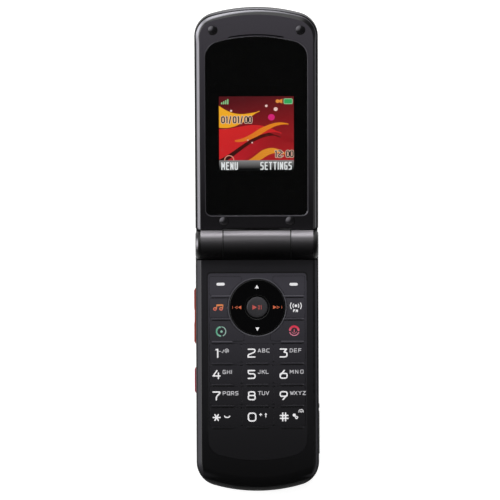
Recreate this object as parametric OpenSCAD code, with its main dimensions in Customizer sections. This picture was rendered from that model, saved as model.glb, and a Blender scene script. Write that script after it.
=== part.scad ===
// Folding mobile phone, shown open: a keypad half lying on its back and a display half raised on a hinge.
// X runs to the right, Y towards the hinge, Z out of the keypad. The origin is the middle of the flat back.
// The display half is drawn folded shut and then turned open about the hinge.

/* [Body] */
// Width of both halves
body_w = 46; // [43:0.5:52]
// Length folded shut, over the hinge barrel
closed_len = 98; // [94:1:110]
// Thickness of the keypad half
base_t = 10; // [9.6:0.2:12]
// Thickness of the display half
lid_t = 7; // [6.6:0.2:9]
// Gap between the halves folded shut
lid_gap = 0.5; // [0.45:0.05:0.8]
// Distance from the centre of the free end's arc to the centre of each corner
end_span = 50; // [46:1:56]
// Thickness of the keypad half's side walls
shell_wall = 1.4; // [1.2:0.1:1.7]
// Thickness of the display half's outer cover
lid_wall = 1.2; // [1:0.1:1.5]
// Rounding along the back edge of the keypad half
base_edge_r = 3.4; // [2.4:0.2:4]
// Rounding along the outer edge of the display half
lid_edge_r = 4; // [3:0.2:4.4]
// Radius of the slope that rounds off the free end below the keypad
chin_r = 8; // [6:0.5:12]
// How far that slope reaches in from the free end
chin_in = 6; // [4:0.5:7]

/* [Bezels] */
// Width of the dark rim outside each bevel
rim_w = 0.55; // [0.4:0.05:0.8]
// Width of the shiny bevel
bevel_w = 1.5; // [1:0.1:2]
// Height of the bezel above the line where the two shells meet
bezel_h = 1.4; // [1.2:0.1:1.6]
// Width of the flat frame from the side to the keypad
keypad_frame_w = 4.4; // [4:0.1:5.5]
// Width of the flat frame from the side to the display window
window_frame_w = 4.05; // [3.8:0.05:5]

/* [Hinge] */
// Radius of the hinge barrel
hinge_r = 5.5; // [5:0.1:6]
// Extra radius at the middle of the centre knuckle
knuckle_crown = 0.2; // [0:0.05:0.2]
// Length of the centre knuckle
center_knuckle_len = 25.4; // [20:0.5:28]
// Thickness of each domed end cap
cap_t = 1.9; // [1.5:0.1:2.4]
// Radius of the hinge stub and bush
pin_r = 2.4; // [2:0.1:2.6]
// Radius of the spring cartridge
cartridge_r = 3; // [2.8:0.1:3.4]
// Angle the display half is opened to
open_angle = 160; // [120:1:170]
// Radius of the curve that leads the display half's cover onto the barrel
blend_r = 12; // [11:0.5:14]

/* [Keypad] */
// From the hinge axis to the top edge of the keypad
keypad_drop = 10.8; // [10:0.2:13]
// From the free end to the bottom edge of the keypad
chin_len = 11.5; // [9:0.5:16]
// Distance from one row of keys to the next
row_pitch = 7.95; // [7.4:0.05:8.3]
// Width of the web strip between two rows
strip_w = 0.9; // [0.7:0.1:1.2]
// Width of the keypad web beside the keys
web_border = 0.6; // [0.4:0.1:0.9]
// Gap round each key
key_gap = 0.12; // [0.1:0.01:0.2]
// Thickness of a key cap
cap_h = 0.4; // [0.35:0.05:0.45]
// Travel of a key
key_travel = 0.25; // [0.15:0.05:0.25]
// Height of the raised ribs between the rows
rib_h = 0.25; // [0.15:0.05:0.3]
// Length of a raised rib
rib_len = 8.2; // [6:0.2:10]
// Radius of the navigation ring
nav_r = 10.5; // [9.5:0.1:11]
// Radius of the centre key
center_key_r = 3.9; // [3.5:0.1:4.5]
// Gap between the centre key and the navigation ring
nav_key_gap = 0.45; // [0.3:0.05:0.6]
// Tilt of the navigation ring each way
nav_tilt = 1; // [0.5:0.1:1]

/* [Display] */
// Length of the display window
window_len = 70.5; // [64:0.5:76]
// From the free end to the top edge of the display window
forehead_len = 10.5; // [10:0.5:16]
// Thickness of the display window
window_t = 0.6; // [0.5:0.1:0.7]
// From the hinge axis to the middle of the screen
screen_drop = 43.65; // [40:0.05:46]
// Side of the square lit area of the screen
screen_size = 28; // [24:0.5:30]
// Radius of a rubber bumper
bumper_r = 1.6; // [1.2:0.1:1.8]

/* [Side keys] */
// Length of the volume rocker
rocker_len = 20.9; // [16:0.1:22]
// Length of the single side key
side_key_len = 9.8; // [7:0.2:11]
// Height of the side keys
side_key_h = 3.1; // [2.6:0.1:3.4]
// How far the side keys stand out
side_proud = 0.65; // [0.3:0.05:0.7]
// Length of the connector flap
flap_len = 19.1; // [16:0.5:22]
// Height of the connector flap
flap_h = 4.6; // [4:0.1:4.8]

/* [Battery side] */
// Thickness of the battery cover
cover_t = 1.2; // [1:0.1:1.4]
// Width of the keypad half's back on each side of the battery cover
cover_frame_w = 5; // [4.6:0.1:6]
// Length of the battery pack
battery_len = 35.2; // [30:0.2:35.2]

/* [Fits] */
// Clearance between the hinge barrel and the keypad half
hinge_gap = 0.3; // [0.2:0.05:0.4]
// Running clearance of the hinge stub and bush
run_gap = 0.06; // [0.03:0.01:0.09]
// Clearance between fixed pieces
seat_gap = 0.1; // [0.05:0.01:0.15]
// Clearance round the side keys and the flap
side_gap = 0.15; // [0.1:0.01:0.2]
// Clearance round the sliding battery cover
slide_gap = 0.1; // [0.05:0.01:0.15]

/* [Hidden] */
number_keys = ["key_1", "key_2", "key_3", "key_4", "key_5", "key_6",
               "key_7", "key_8", "key_9", "key_star", "key_0", "key_hash"];

// The corner arcs meet the end arc along a 7-24-25 triangle, so every centre and radius is a short decimal.
corner_cos = 0.28;
corner_sin = 0.96;
corner_turn = acos(corner_cos);

// Colours
shell_black = "#1b1b1e";
frame_black = "#242327";
key_black = "#2a282d";
gloss_black = "#0b0b0d";
silver = "#9a999c";
brick = "#a8321f";

// Lengthwise and upward landmarks
cut = 1;                                   // how far a cutter runs past the face it opens
overlap = 0.8;                             // how far joined forms run into each other
end_y = -closed_len/2;
axis_y = closed_len/2 - hinge_r;
axis_z = base_t + lid_gap/2;
corner_r = body_w/2 - corner_cos*end_span;
end_r = corner_r + end_span;
hinge_end_y = axis_y - hinge_gap;          // square end of the keypad half, under the barrel
split_z = base_t - bezel_h;                // line where the rear and front housings meet
flange_w = 5.2;                            // depth of the swept edge sections

// Keypad stack, from the top down
sheet_t = 0.7;                             // thickness of the keypad web
keypad_z = base_t - seat_gap;              // top of the web and the keys
deck_top = keypad_z - sheet_t;             // housing floor under the web
deck_t = 1;
deck_z = deck_top - deck_t;
board_t = 0.8;
board_drop = 1.1;                          // from the deck down to the circuit board
board_top = deck_z - board_drop;
board_z = board_top - board_t;
dome_sheet_t = 0.05;
dome_h = 0.15;
dome_r = 1.5;
plunger_r = 1.1;
plunger_gap = 0.3;
plunger_z = board_top + dome_sheet_t + dome_h + key_travel + 0.05;

// Battery bay, from the back up
cover_w = body_w - 2*cover_frame_w;
floor_t = cover_t + slide_gap;
bay_floor_z = floor_t + 0.8;
ceiling_t = 0.6;
ceiling_z = board_z - seat_gap - ceiling_t;
bay_wall = 0.7;
bay_end_y = end_y + 9.8;                   // end of the bay next to the free end
battery_gap = 0.2;
contact_y = bay_end_y + battery_len + 2*battery_gap;
contact_t = 1.8;
bay_mid_y = contact_y + contact_t + 2*battery_gap;
cover_top = axis_y - 29.5;
bay_top = cover_top - 1.2;
bay_left = -cover_w/2;
bay_right = cover_w/2 - 4;                 // leaves room for the connector socket
card_bay_w = cover_w - 10;
dovetail = 0.6;
chamber_y = cover_top + 1.6;               // loudspeaker chamber beside the hinge
beam_y = axis_y - 7;                       // inner face of the beam under the barrel
heel_r = 2.4;                              // rounding of the back edge under the barrel
speaker_at = [7, chamber_y + 9];

// Keypad plan
keypad_top = axis_y - keypad_drop;
keypad_end = end_y + chin_len;
keypad_w = body_w - 2*keypad_frame_w;
keypad_span = 45;
keypad_corner_r = 1.4;
nav_y = keypad_top - nav_r - 2.3;
nav_window_r = nav_r + key_gap;
nav_collar_r = nav_window_r + 0.6;
key_round = 0.6;
col_pitch = (keypad_w - 2*web_border - key_gap)/3;
rib_w = 0.45;
rib_out = 0.9;                             // how far the outer ribs stand out from their key's middle
line_c = nav_y - nav_r - 2.7;              // strip under the send and end keys
line_b = line_c + 8.75;                    // strip under the music and radio keys
line_a = line_b + 8.45;                    // strip under the softkeys
softkey_in = 6;                            // inner end of the softkeys, from the middle
call_key_in = 5;
key_edge = 1.5*col_pitch;                  // outer end of the side columns
plunger_x = key_edge - 5.3;
neck_w = center_knuckle_len - 0.6;         // block that carries the centre knuckle
neck_z = board_z + 0.3;

// Screws
screw_r = 0.8;
screw_head_r = 1.45;
screw_head_h = 0.8;
boss_r = 2;
board_hole_r = 1.1;
case_screws = [for (s = [-1, 1]) for (y = [end_y + 6.5, bay_top - 1.6]) [s*(cover_w/2 - 1.8), y]];
lid_screw_places = [for (s = [-1, 1]) for (p = [[body_w/2 - 6.7, end_y + 7.8], [12.4, axis_y - 9.3]])
    [s*p[0], p[1]]];

// Display half, folded shut
lid_z = base_t + lid_gap;
lid_top = lid_z + lid_t;
lid_split = lid_z + bezel_h;
lid_plate_t = 1.2;
lid_plate_z = lid_z + lid_plate_t;
lid_end_y = axis_y - hinge_r - 0.4;        // square end of the display half beside the barrel
lip_h = 1;
lip_t = 0.85;
window_top = end_y + forehead_len;
window_end = window_top + window_len;
window_w = body_w - 2*window_frame_w;
window_span = 45;
window_corner_r = 2;
screen_y = axis_y - screen_drop;
lcd_w = screen_size + 5;
lcd_len = screen_size + 12;
lcd_y = screen_y - screen_size/2 - 4;
lcd_t = 1.4;
lcd_z = lid_plate_z + seat_gap/2;
frame_wall = 0.8;
frame_back = 0.7;
lid_board_z = lcd_z + lcd_t + frame_back + 2*seat_gap;
slot_w = 20.6;
slot_h = 0.6;
slot_land = 0.4;                           // from the window to the earpiece slot
slot_y = window_top - slot_land - slot_h;
knuckle_x = center_knuckle_len/2 + 0.2;    // inner face of each outer knuckle
cap_x = body_w/2 - cap_t + 0.05;           // inner face of each end cap
pin_depth = 4.8;                           // how far the stub and bush reach into the centre knuckle
bumper_sink = 0.35;
bumper_h = lid_gap - 0.05;

// Side pieces
side_z = 5.3;                              // middle height of the side keys and the flap
side_depth = 0.9;                          // how far the side keys reach into the wall
rocker_y = axis_y - 26.7;
side_key_y = axis_y - 50.8;
side_travel = 0.25;
nub_r = 0.9;
rocker_nub_y = 7;
rocker_tilt_room = 0.25;
flap_t = 1.2;
flap_proud = 0.2;
flap_y = end_y + 14.2;                     // the flap's pivot
flap_x = body_w/2 + flap_proud - flap_t/2;
flap_pin_r = 0.3;
rocker_pin_r = 0.4;
rocker_pin_x = -body_w/2 + 0.5;
pin_hole_gap = 0.05;
pin_reach = 0.4;

// ---- Shared forms ----

// Outline with a broad arc at y0 and a straight end at y1, whose corners have radius r
module outline(w, y0, y1, span, inset = 0, r = 0) {
    rc = w/2 - corner_cos*span;
    re = rc + span;
    yc = y0 + re - corner_sin*span;
    hw = w/2 - inset;
    far = 1.2*re;
    translate([-hw, yc]) square([2*hw, y1 - r - yc]);
    for (s = [-1, 1]) translate([s*corner_cos*span, yc]) circle(rc - inset, $fn = 96);
    intersection() {
        translate([0, y0 + re]) circle(re - inset, $fn = 360);
        polygon([[0, y0 + re], [-corner_cos*far, y0 + re - corner_sin*far],
                 [corner_cos*far, y0 + re - corner_sin*far]]);
    }
    polygon([[-corner_cos*span, yc], [0, y0 + re], [corner_cos*span, yc]]);
    if (r > 0) {
        translate([r - hw, y1 - 2*r]) square([2*(hw - r), 2*r]);
        for (s = [-1, 1]) translate([s*(hw - r), y1 - r]) circle(r, $fn = 48);
    }
}

// Outline of both halves
module body_outline(y1, inset = 0) outline(body_w, end_y, y1, end_span, inset);

// Sweeps a section round the sides and the free end: x is the distance in from the outline, y the height
module edge_sweep(y1) {
    yc = end_y + end_r - corner_sin*end_span;
    for (s = [0, 1]) mirror([s, 0, 0]) {
        translate([body_w/2, y1, 0]) rotate([90, 0, 0]) linear_extrude(y1 - yc) mirror([1, 0]) children();
        translate([corner_cos*end_span, yc, 0]) rotate([0, 0, -corner_turn])
            rotate_extrude(angle = corner_turn, $fn = 96) translate([corner_r, 0]) mirror([1, 0]) children();
    }
    translate([0, end_y + end_r, 0]) rotate([0, 0, corner_turn - 180])
        rotate_extrude(angle = 180 - 2*corner_turn, $fn = 360)
            translate([end_r, 0]) mirror([1, 0]) children();
}

// What a rounding of radius r takes off a corner at the origin whose material lies at +x, +y
module corner_off(r) {
    difference() {
        translate([-cut, -cut]) square(r + cut);
        translate([r, r]) circle(r, $fn = 64);
    }
}

// Rectangle between two corners with rounded corners
module round_rect(a, b, r) {
    translate([a[0] + r, a[1]]) square([b[0] - a[0] - 2*r, b[1] - a[1]]);
    translate([a[0], a[1] + r]) square([b[0] - a[0], b[1] - a[1] - 2*r]);
    for (x = [a[0] + r, b[0] - r]) for (y = [a[1] + r, b[1] - r]) translate([x, y]) circle(r, $fn = 32);
}

// Block between two corners
module block(a, b) translate(a) cube(b - a);

// Cylinder along X about the hinge axis
module barrel(x0, x1, r) translate([x0, axis_y, axis_z]) rotate([0, 90, 0])
    cylinder(h = x1 - x0, r = r, $fn = 96);

// Extrudes a side view (y, z) along X
module across(x0, x1) translate([x0, 0, 0]) rotate([90, 0, 90]) linear_extrude(x1 - x0) children();

// Turns the display half open about the hinge
module opened() translate([0, axis_y, axis_z]) rotate([-open_angle, 0, 0]) translate([0, -axis_y, -axis_z])
    children();

// Cutter that slopes the free end of the keypad half
module chin_slope() translate([0, end_y + end_r, base_t]) rotate_extrude($fn = 360) difference() {
    translate([end_r - chin_in, -chin_r]) square([chin_in + 2*cut, chin_r + cut]);
    translate([end_r - chin_in, -0.995*chin_r]) circle(chin_r, $fn = 128);
}

// ---- Keypad half: shells ----

module rear_section() difference() {
    square([flange_w, split_z]);
    corner_off(base_edge_r);
    translate([0, split_z]) mirror([0, 1]) corner_off(0.5);
    translate([shell_wall, bay_floor_z]) square([flange_w, split_z]);
}

// Bay for the battery and, nearer the hinge, the narrower bay for the cards
module bay_plan(grow = 0) {
    translate([bay_left - grow, bay_end_y - grow])
        square([bay_right - bay_left + 2*grow, bay_mid_y - bay_end_y + 2*grow]);
    translate([-card_bay_w/2 - grow, bay_mid_y - grow])
        square([card_bay_w + 2*grow, bay_top - bay_mid_y + 2*grow]);
}

// Dovetailed way of the battery cover, seen from the free end
module cover_section(grow, low, high) polygon([
    [-cover_w/2 - grow, low], [cover_w/2 + grow, low], [cover_w/2 + grow, 0],
    [cover_w/2 + dovetail + grow, high], [-cover_w/2 - dovetail - grow, high], [-cover_w/2 - grow, 0]]);

module cover_way(grow, low, high, top) translate([0, top, 0]) rotate([90, 0, 0])
    linear_extrude(top - end_y + cut) cover_section(grow, low, high);

module speaker_slots() for (i = [-2:2])
    translate([speaker_at[0], speaker_at[1] + i*2.2, -cut]) linear_extrude(floor_t + 2*cut)
        round_rect([-5, -0.5], [5, 0.5], 0.45);

// Pivot of the rocker or the flap, or with no shortening the hole it turns in
module upright_pin(x, y, h, r, short) translate([x, y, side_z])
    cylinder(h = h + 2*side_gap + 2*pin_reach - short, r = r, center = true, $fn = 32);

module side_windows() {
    hx = body_w/2 + cut;
    for (k = [[rocker_y, rocker_len], [side_key_y, side_key_len]])
        block([-hx, k[0] - k[1]/2 - side_gap, side_z - side_key_h/2 - side_gap],
              [-body_w/2 + shell_wall + 0.1, k[0] + k[1]/2 + side_gap, side_z + side_key_h/2 + side_gap]);
    block([body_w/2 - shell_wall - 0.1, flap_y - flap_t/2 - side_gap, side_z - flap_h/2 - side_gap],
          [hx, flap_y - flap_t/2 + flap_len + side_gap, side_z + flap_h/2 + side_gap]);
    upright_pin(rocker_pin_x, rocker_y, side_key_h, rocker_pin_r + pin_hole_gap, 0);
    upright_pin(flap_x, flap_y, flap_h, flap_pin_r + pin_hole_gap, 0);
}

module rear_housing() color(shell_black) difference() {
    union() {
        edge_sweep(hinge_end_y) rear_section();
        difference() {
            linear_extrude(bay_floor_z) body_outline(hinge_end_y, flange_w - overlap);
            block([-body_w, chamber_y, floor_t], [body_w, beam_y, base_t]);
        }
        translate([0, 0, bay_floor_z - overlap/2])
            linear_extrude(ceiling_z + ceiling_t - bay_floor_z + overlap/2) difference() {
                bay_plan(bay_wall);
                bay_plan();
            }
        translate([0, 0, ceiling_z]) linear_extrude(ceiling_t)
            translate([bay_left - bay_wall/2, bay_end_y - bay_wall/2])
                square([bay_right - bay_left + bay_wall, contact_y - bay_end_y]);
        block([-body_w/2 + shell_wall - 0.1, beam_y, cut],
              [body_w/2 - shell_wall + 0.1, hinge_end_y, deck_z - seat_gap/2]);
        for (p = case_screws) translate([p[0], p[1], bay_floor_z - overlap/2])
            cylinder(h = board_z - seat_gap - bay_floor_z + overlap/2, r = boss_r, $fn = 48);
    }
    cover_way(slide_gap, -cut, floor_t, cover_top + slide_gap);
    translate([0, 0, -cut]) linear_extrude(bay_floor_z + 2*cut) bay_plan();
    for (p = case_screws) translate([p[0], p[1], 0]) {
        cylinder(h = base_t, r = screw_r + seat_gap, $fn = 32);
        cylinder(h = floor_t + screw_head_h + seat_gap, r = screw_head_r + seat_gap, $fn = 32);
    }
    speaker_slots();
    side_windows();
    barrel(-body_w, body_w, hinge_r + hinge_gap);
    block([-neck_w/2 - seat_gap, beam_y - cut, neck_z - seat_gap], [neck_w/2 + seat_gap, axis_y, base_t]);
    across(-body_w, body_w) translate([hinge_end_y, 0]) difference() {
        translate([-heel_r, -cut]) square([heel_r + cut, heel_r + cut]);
        translate([-heel_r, heel_r]) circle(heel_r + 0.02, $fn = 64);
    }
    chin_slope();
}

// Section of the bezel, with the lip that drops inside the rear housing
module front_section() polygon([
    [rim_w, split_z], [rim_w, split_z + 0.2], [rim_w + bevel_w, base_t], [flange_w, base_t],
    [flange_w, deck_z], [shell_wall + side_gap, deck_z], [shell_wall + side_gap, split_z]]);

// Middle knuckle of the hinge, fuller in the middle than at its ends
module center_knuckle() translate([0, axis_y, axis_z]) rotate([0, 90, 0]) rotate_extrude($fn = 128)
    intersection() {
        translate([0, -center_knuckle_len/2]) square([hinge_r + 1, center_knuckle_len]);
        crown_r = (pow(center_knuckle_len/2, 2) + pow(knuckle_crown, 2))/(2*max(knuckle_crown, 0.02));
        translate([hinge_r + knuckle_crown - round(crown_r), 0]) circle(round(crown_r), $fn = 720);
    }

module plunger_holes() {
    for (p = plunger_places) translate([p[0], p[1], deck_z - 2*cut])
        cylinder(h = deck_t + 3*cut, r = plunger_r + plunger_gap, $fn = 32);
}

module front_housing() color(frame_black) difference() {
    union() {
        edge_sweep(lid_end_y) front_section();
        translate([0, 0, deck_z]) linear_extrude(base_t - deck_z)
            body_outline(axis_y - hinge_r, flange_w - overlap);
        block([-neck_w/2, beam_y - 0.9, neck_z], [neck_w/2, axis_y - 2, base_t]);
        center_knuckle();
        for (p = case_screws) translate([p[0], p[1], board_top + seat_gap])
            cylinder(h = deck_z - board_top, r = boss_r - 0.3, $fn = 48);
    }
    for (s = [0, 1]) mirror([s, 0, 0]) barrel(center_knuckle_len/2, body_w, hinge_r + hinge_gap);
    translate([0, 0, deck_top]) linear_extrude(base_t) outline(keypad_w + 2*seat_gap, keypad_end - seat_gap,
        keypad_top + seat_gap, keypad_span, 0, keypad_corner_r + seat_gap);
    plunger_holes();
    translate([0, nav_y, gimbal_z - 0.25]) cylinder(h = base_t, r = gimbal_r + 0.4, $fn = 64);
    for (p = case_screws) translate([p[0], p[1], 0])
        cylinder(h = deck_top - 0.15, r = screw_r + seat_gap/2, $fn = 32);
    barrel(center_knuckle_len/2 - pin_depth - 0.2, body_w, pin_r + run_gap);
    barrel(-body_w, -center_knuckle_len/2 + 9, pin_r + run_gap);
    block([flex_x - flex_w/2 - 0.3, beam_y - 2, board_top - 0.2],
          [flex_x + flex_w/2 + 0.3, axis_y + 0.1, axis_z - pin_r + 0.4]);
    chin_slope();
}

// Sheet that fills the keypad round the keys
module keypad_web() color(key_black) {
    difference() {
        translate([0, 0, deck_top]) linear_extrude(sheet_t)
            outline(keypad_w, keypad_end, keypad_top, keypad_span, 0, keypad_corner_r);
        translate([0, 0, deck_top - cut]) linear_extrude(sheet_t + 2*cut) {
            half = [key_edge + key_gap/2, key_len/2 + key_gap];
            for (r = [0:3]) round_rect([0, row_y(r)] - half, [0, row_y(r)] + half, key_round + key_gap);
            for (k = side_key_boxes) for (s = [0, 1]) mirror([s, 0]) side_key_plan(k, key_gap);
            translate([0, nav_y]) circle(nav_window_r, $fn = 96);
        }
    }
    translate([0, 0, keypad_z - 0.1]) linear_extrude(rib_h + 0.1) {
        difference() {
            for (y = [line_a, line_b, line_c]) for (s = [-1, 1]) rib(s*(col_pitch + rib_out), y);
            translate([0, nav_y]) circle(nav_window_r + rib_w, $fn = 96);
        }
        for (r = [0:3]) for (c = [-1:1]) rib(c*(col_pitch + rib_out), row_y(r) - row_pitch/2);
    }
}

module rib(x, y) round_rect([x - rib_len/2, y - rib_w/2], [x + rib_len/2, y + rib_w/2], 0.2);

// ---- Keys ----

key_len = row_pitch - strip_w - 2*key_gap;
function row_y(r) = line_c - row_pitch*(r + 0.5);
side_key_boxes = [
    [[softkey_in, line_a + strip_w/2 + key_gap], [key_edge - key_gap/2, keypad_top - 1.2]],
    [[softkey_in, line_b + strip_w/2 + key_gap], [key_edge - key_gap/2, line_a - strip_w/2 - key_gap]],
    [[call_key_in, line_c + strip_w/2 + key_gap], [key_edge - key_gap/2, line_b - strip_w/2 - key_gap]]];
number_places = [for (i = [0:11]) [(i % 3 - 1)*col_pitch, row_y(floor(i/3))]];
side_places = [for (k = side_key_boxes) [plunger_x, (k[0][1] + k[1][1])/2]];
nub_ring_r = 8.3;
nav_places = [for (a = [0:90:270]) [nub_ring_r*cos(a), nav_y + nub_ring_r*sin(a)]];
plunger_places = concat(number_places, [for (s = [-1, 1]) for (p = side_places) [s*p[0], p[1]]],
                        [[0, nav_y]], nav_places);

// Key beside the navigation ring, on the right; grow makes the opening it sits in
module side_key_plan(k, grow = 0) difference() {
    round_rect(k[0] - [grow, grow], k[1] + [grow, grow], key_round + grow);
    translate([0, nav_y]) circle(nav_collar_r + key_gap - grow, $fn = 96);
}

// Cap on its plunger
module key_cap(p) {
    translate([0, 0, keypad_z - cap_h]) linear_extrude(cap_h) children();
    plunger(p);
}

module plunger(p) translate([p[0], p[1], plunger_z])
    cylinder(h = keypad_z - cap_h - plunger_z + 0.1, r = plunger_r, $fn = 32);

module number_key(i) color(key_black) {
    p = number_places[i];
    half = [(col_pitch - key_gap)/2, key_len/2];
    key_cap(p) round_rect(p - half, p + half, key_round);
}

module side_column_key(i, left) color(key_black) mirror([left, 0, 0])
    key_cap(side_places[i]) side_key_plan(side_key_boxes[i]);

module center_key() color(gloss_black) {
    dish_r = 30;
    difference() {
        translate([0, nav_y, keypad_z - cap_h]) rotate_extrude($fn = 64) polygon([
            [0, 0], [center_key_r, 0], [center_key_r, cap_h + 0.05], [center_key_r - 0.25, cap_h + 0.3],
            [0, cap_h + 0.3]]);
        translate([0, nav_y, keypad_z + 0.15 + dish_r]) sphere(dish_r, $fn = 128);
    }
    plunger([0, nav_y]);
}

gimbal_r = 6.8;
gimbal_z = deck_z + 0.5;
gimbal_t = 0.4;

// Ring under the navigation ring that lets it rock both ways
module nav_gimbal() color(silver) translate([0, nav_y, gimbal_z]) difference() {
    cylinder(h = gimbal_t, r = gimbal_r, $fn = 64);
    translate([0, 0, -cut]) cylinder(h = gimbal_t + 2*cut, r = center_key_r + 2*nav_key_gap, $fn = 64);
}

module nav_ring() color(gloss_black) {
    hub_z = gimbal_z + gimbal_t + 0.2;
    under_z = deck_top + nav_r*sin(1.42*nav_tilt) + 0.04;
    top_z = keypad_z + 0.25;
    inner = center_key_r + nav_key_gap;
    translate([0, nav_y, 0]) rotate_extrude($fn = 96) polygon([
        [inner, hub_z], [gimbal_r + 0.1, hub_z], [gimbal_r + 0.1, under_z], [nav_r - 0.1, under_z],
        [nav_r, under_z + 0.1], [nav_r, top_z - 0.25], [nav_r - 0.3, top_z], [nav_r - 0.9, top_z],
        [inner + 1.2, top_z - 0.2], [inner + 0.3, top_z - 0.2], [inner, top_z - 0.35]]);
    for (p = nav_places) translate([p[0], p[1], plunger_z])
        cylinder(h = under_z - plunger_z + 0.1, r = nub_r, $fn = 32);
}

// ---- Keypad half: inside ----

module board_plan() difference() {
    body_outline(beam_y - 2.4, shell_wall + 0.6);
    for (p = case_screws) translate(p) circle(board_hole_r, $fn = 32);
}

module main_board() color("#1f5a3a") translate([0, 0, board_z]) linear_extrude(board_t) board_plan();

module dome_sheet() color("silver") {
    translate([0, 0, board_top]) linear_extrude(dome_sheet_t) difference() {
        translate([-keypad_w/2 + 1, row_y(3) - key_len/2])
            square([keypad_w - 2, keypad_top - row_y(3) + key_len/2 - 1]);
        for (p = case_screws) translate(p) circle(boss_r, $fn = 32);
    }
    for (p = plunger_places) translate([p[0], p[1], board_top])
        cylinder(h = dome_sheet_t + dome_h, r1 = dome_r, r2 = 1, $fn = 32);
}

// Folded tin lids over the radio and processor, under the board
module shield_cans() color("silver") {
    side_x = body_w/2 - 6;
    can_h = 0.9;
    for (k = [[-side_x, -2.5], [3, side_x - 1]])
        block([k[0], chamber_y + 1, board_z - can_h], [k[1], beam_y - 3.5, board_z]);
}

module loudspeaker() color("#3a3a3c") translate([speaker_at[0], speaker_at[1], floor_t]) {
    cylinder(h = 2.6, r = 6.5, $fn = 64);
    cylinder(h = 3.2, r = 4.4, $fn = 64);
}

module microphone() color("silver") translate([0, end_y + 7, board_top])
    cylinder(h = deck_z - board_top - seat_gap, r = 2, $fn = 48);

// Motor with an off-centre weight on its shaft
module vibration_motor() color("silver") {
    motor_r = 2;
    motor_len = 9;
    weight_r = motor_r - 0.1;
    translate([7.5 - body_w/2, chamber_y + 5, floor_t + motor_r]) rotate([0, 90, 0]) {
        cylinder(h = motor_len, r = motor_r, $fn = 48);
        translate([0, 0, motor_len]) cylinder(h = 1, r = 0.5, $fn = 24);
        translate([0, 0, motor_len + 1]) intersection() {
            cylinder(h = 2.6, r = weight_r, $fn = 48);
            translate([-0.4, -3, 0]) cube([4, 6, 3]);
        }
    }
}

// Antenna carrier in the free end
module antenna() color("#cfc9b8") {
    half = cover_w/2 - 4.6;
    block([-half, end_y + 3.6, bay_floor_z + seat_gap/2],
          [half, bay_end_y - bay_wall - 0.3, board_z - seat_gap]);
}

// Folded box, open at one end, with walls of the given thickness all round it
module folded_box(a, b, wall, open_side) difference() {
    block(a, b);
    block(a + [wall, wall, wall] - cut*max_zero(-open_side), b - [wall, wall, wall] + cut*max_zero(open_side));
}
function max_zero(v) = [for (x = v) max(x, 0)];

module usb_socket() color("silver") {
    y = flap_y + flap_len/2 - flap_t/2;
    half = 3.9;
    back = body_w/2 - 8;
    folded_box([back, y - half, board_z - 3],
               [body_w/2 - shell_wall - 0.2, y + half, board_z], 0.5, [1, 0, 0]);
}

// Card holders under the board, open towards the battery
module card_holder(x0, x1, h) color("silver")
    folded_box([x0, bay_mid_y + 0.5, board_z - h], [x1, bay_top - 0.5, board_z], 0.35, [0, -1, 0]);

module sim_holder() card_holder(0.6 - card_bay_w/2, 1.4, 1.5);

module memory_card_slot() card_holder(2.2, card_bay_w/2 - 0.6, 1.4);

module battery_pack() color("#2c3f6b")
    translate([0, bay_end_y + battery_gap, 0]) rotate([-90, 0, 0]) mirror([0, 1, 0]) linear_extrude(battery_len)
        round_rect([bay_left + battery_gap, cover_t + battery_gap],
                   [bay_right - battery_gap, ceiling_z - battery_gap], 1);

module battery_contacts() color("#b08d3a") {
    block([-5, contact_y, cover_t + 2], [5, contact_y + contact_t, board_z]);
    for (x = [-3, 0, 3])
        block([x - 0.6, contact_y - battery_gap/2, cover_t + 2.4], [x + 0.6, contact_y + 0.1, cover_t + 3.6]);
}

module housing_screws() color("silver") for (p = case_screws) translate([p[0], p[1], floor_t]) {
    cylinder(h = screw_head_h, r = screw_head_r, $fn = 32);
    cylinder(h = deck_top - 0.3 - floor_t, r = screw_r, $fn = 32);
}

module side_switches() color("silver") {
    for (s = [-1, 1]) switch_at(rocker_y + s*rocker_nub_y, -body_w/2 + shell_wall + 0.35);
    switch_at(side_key_y, -body_w/2 + shell_wall + 0.65);
}

module switch_at(y, x) {
    block([x + 0.3, y - 1.6, side_z - 1], [x + 1.9, y + 1.6, board_z]);
    block([x, y - 0.7, side_z - 0.6], [x + 0.4, y + 0.7, side_z + 0.6]);
}

flex_x = -6;
flex_w = 2.6;
flex_t = 0.3;

// Cable to the display half: a strip on the board, and the roll inside the hinge
module flex_cable() color("#c8862a") {
    coil_r = 1.25;
    barrel(-body_w/2 + cap_t + 2.4, flex_x + flex_w/2, coil_r);
    block([flex_x - flex_w/2, beam_y - 4.5, board_top], [flex_x + flex_w/2, axis_y, board_top + flex_t]);
    block([flex_x - flex_w/2, axis_y - flex_t, board_top], [flex_x + flex_w/2, axis_y, axis_z]);
}

// ---- Pieces that move on the keypad half ----

module battery_cover() color(shell_black) difference() {
    intersection() {
        cover_way(0, 0, cover_t, cover_top);
        union() {
            edge_sweep(cover_top) difference() { square([flange_w, split_z]); corner_off(base_edge_r); }
            linear_extrude(cover_t + cut) body_outline(cover_top, flange_w - overlap);
        }
    }
    for (i = [0:4]) translate([0, cover_top - 4 - i*1.6, 0]) rotate([0, 90, 0])
        cylinder(h = 14, r = 0.4, center = true, $fn = 32);
}

module port_cover() color(shell_black) {
    upright_pin(flap_x, flap_y, flap_h, flap_pin_r, 0.2);
    translate([flap_x, flap_y, side_z]) {
        cylinder(h = flap_h, r = flap_t/2, center = true, $fn = 48);
        translate([-flap_t/2, 0, -flap_h/2]) difference() {
            cube([flap_t, flap_len - flap_t/2, flap_h]);
            translate([flap_t, flap_len - flap_t/2 - 2.2, -cut])
                cylinder(h = flap_h + 2*cut, r = 0.5, $fn = 32);
        }
    }
}

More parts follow.
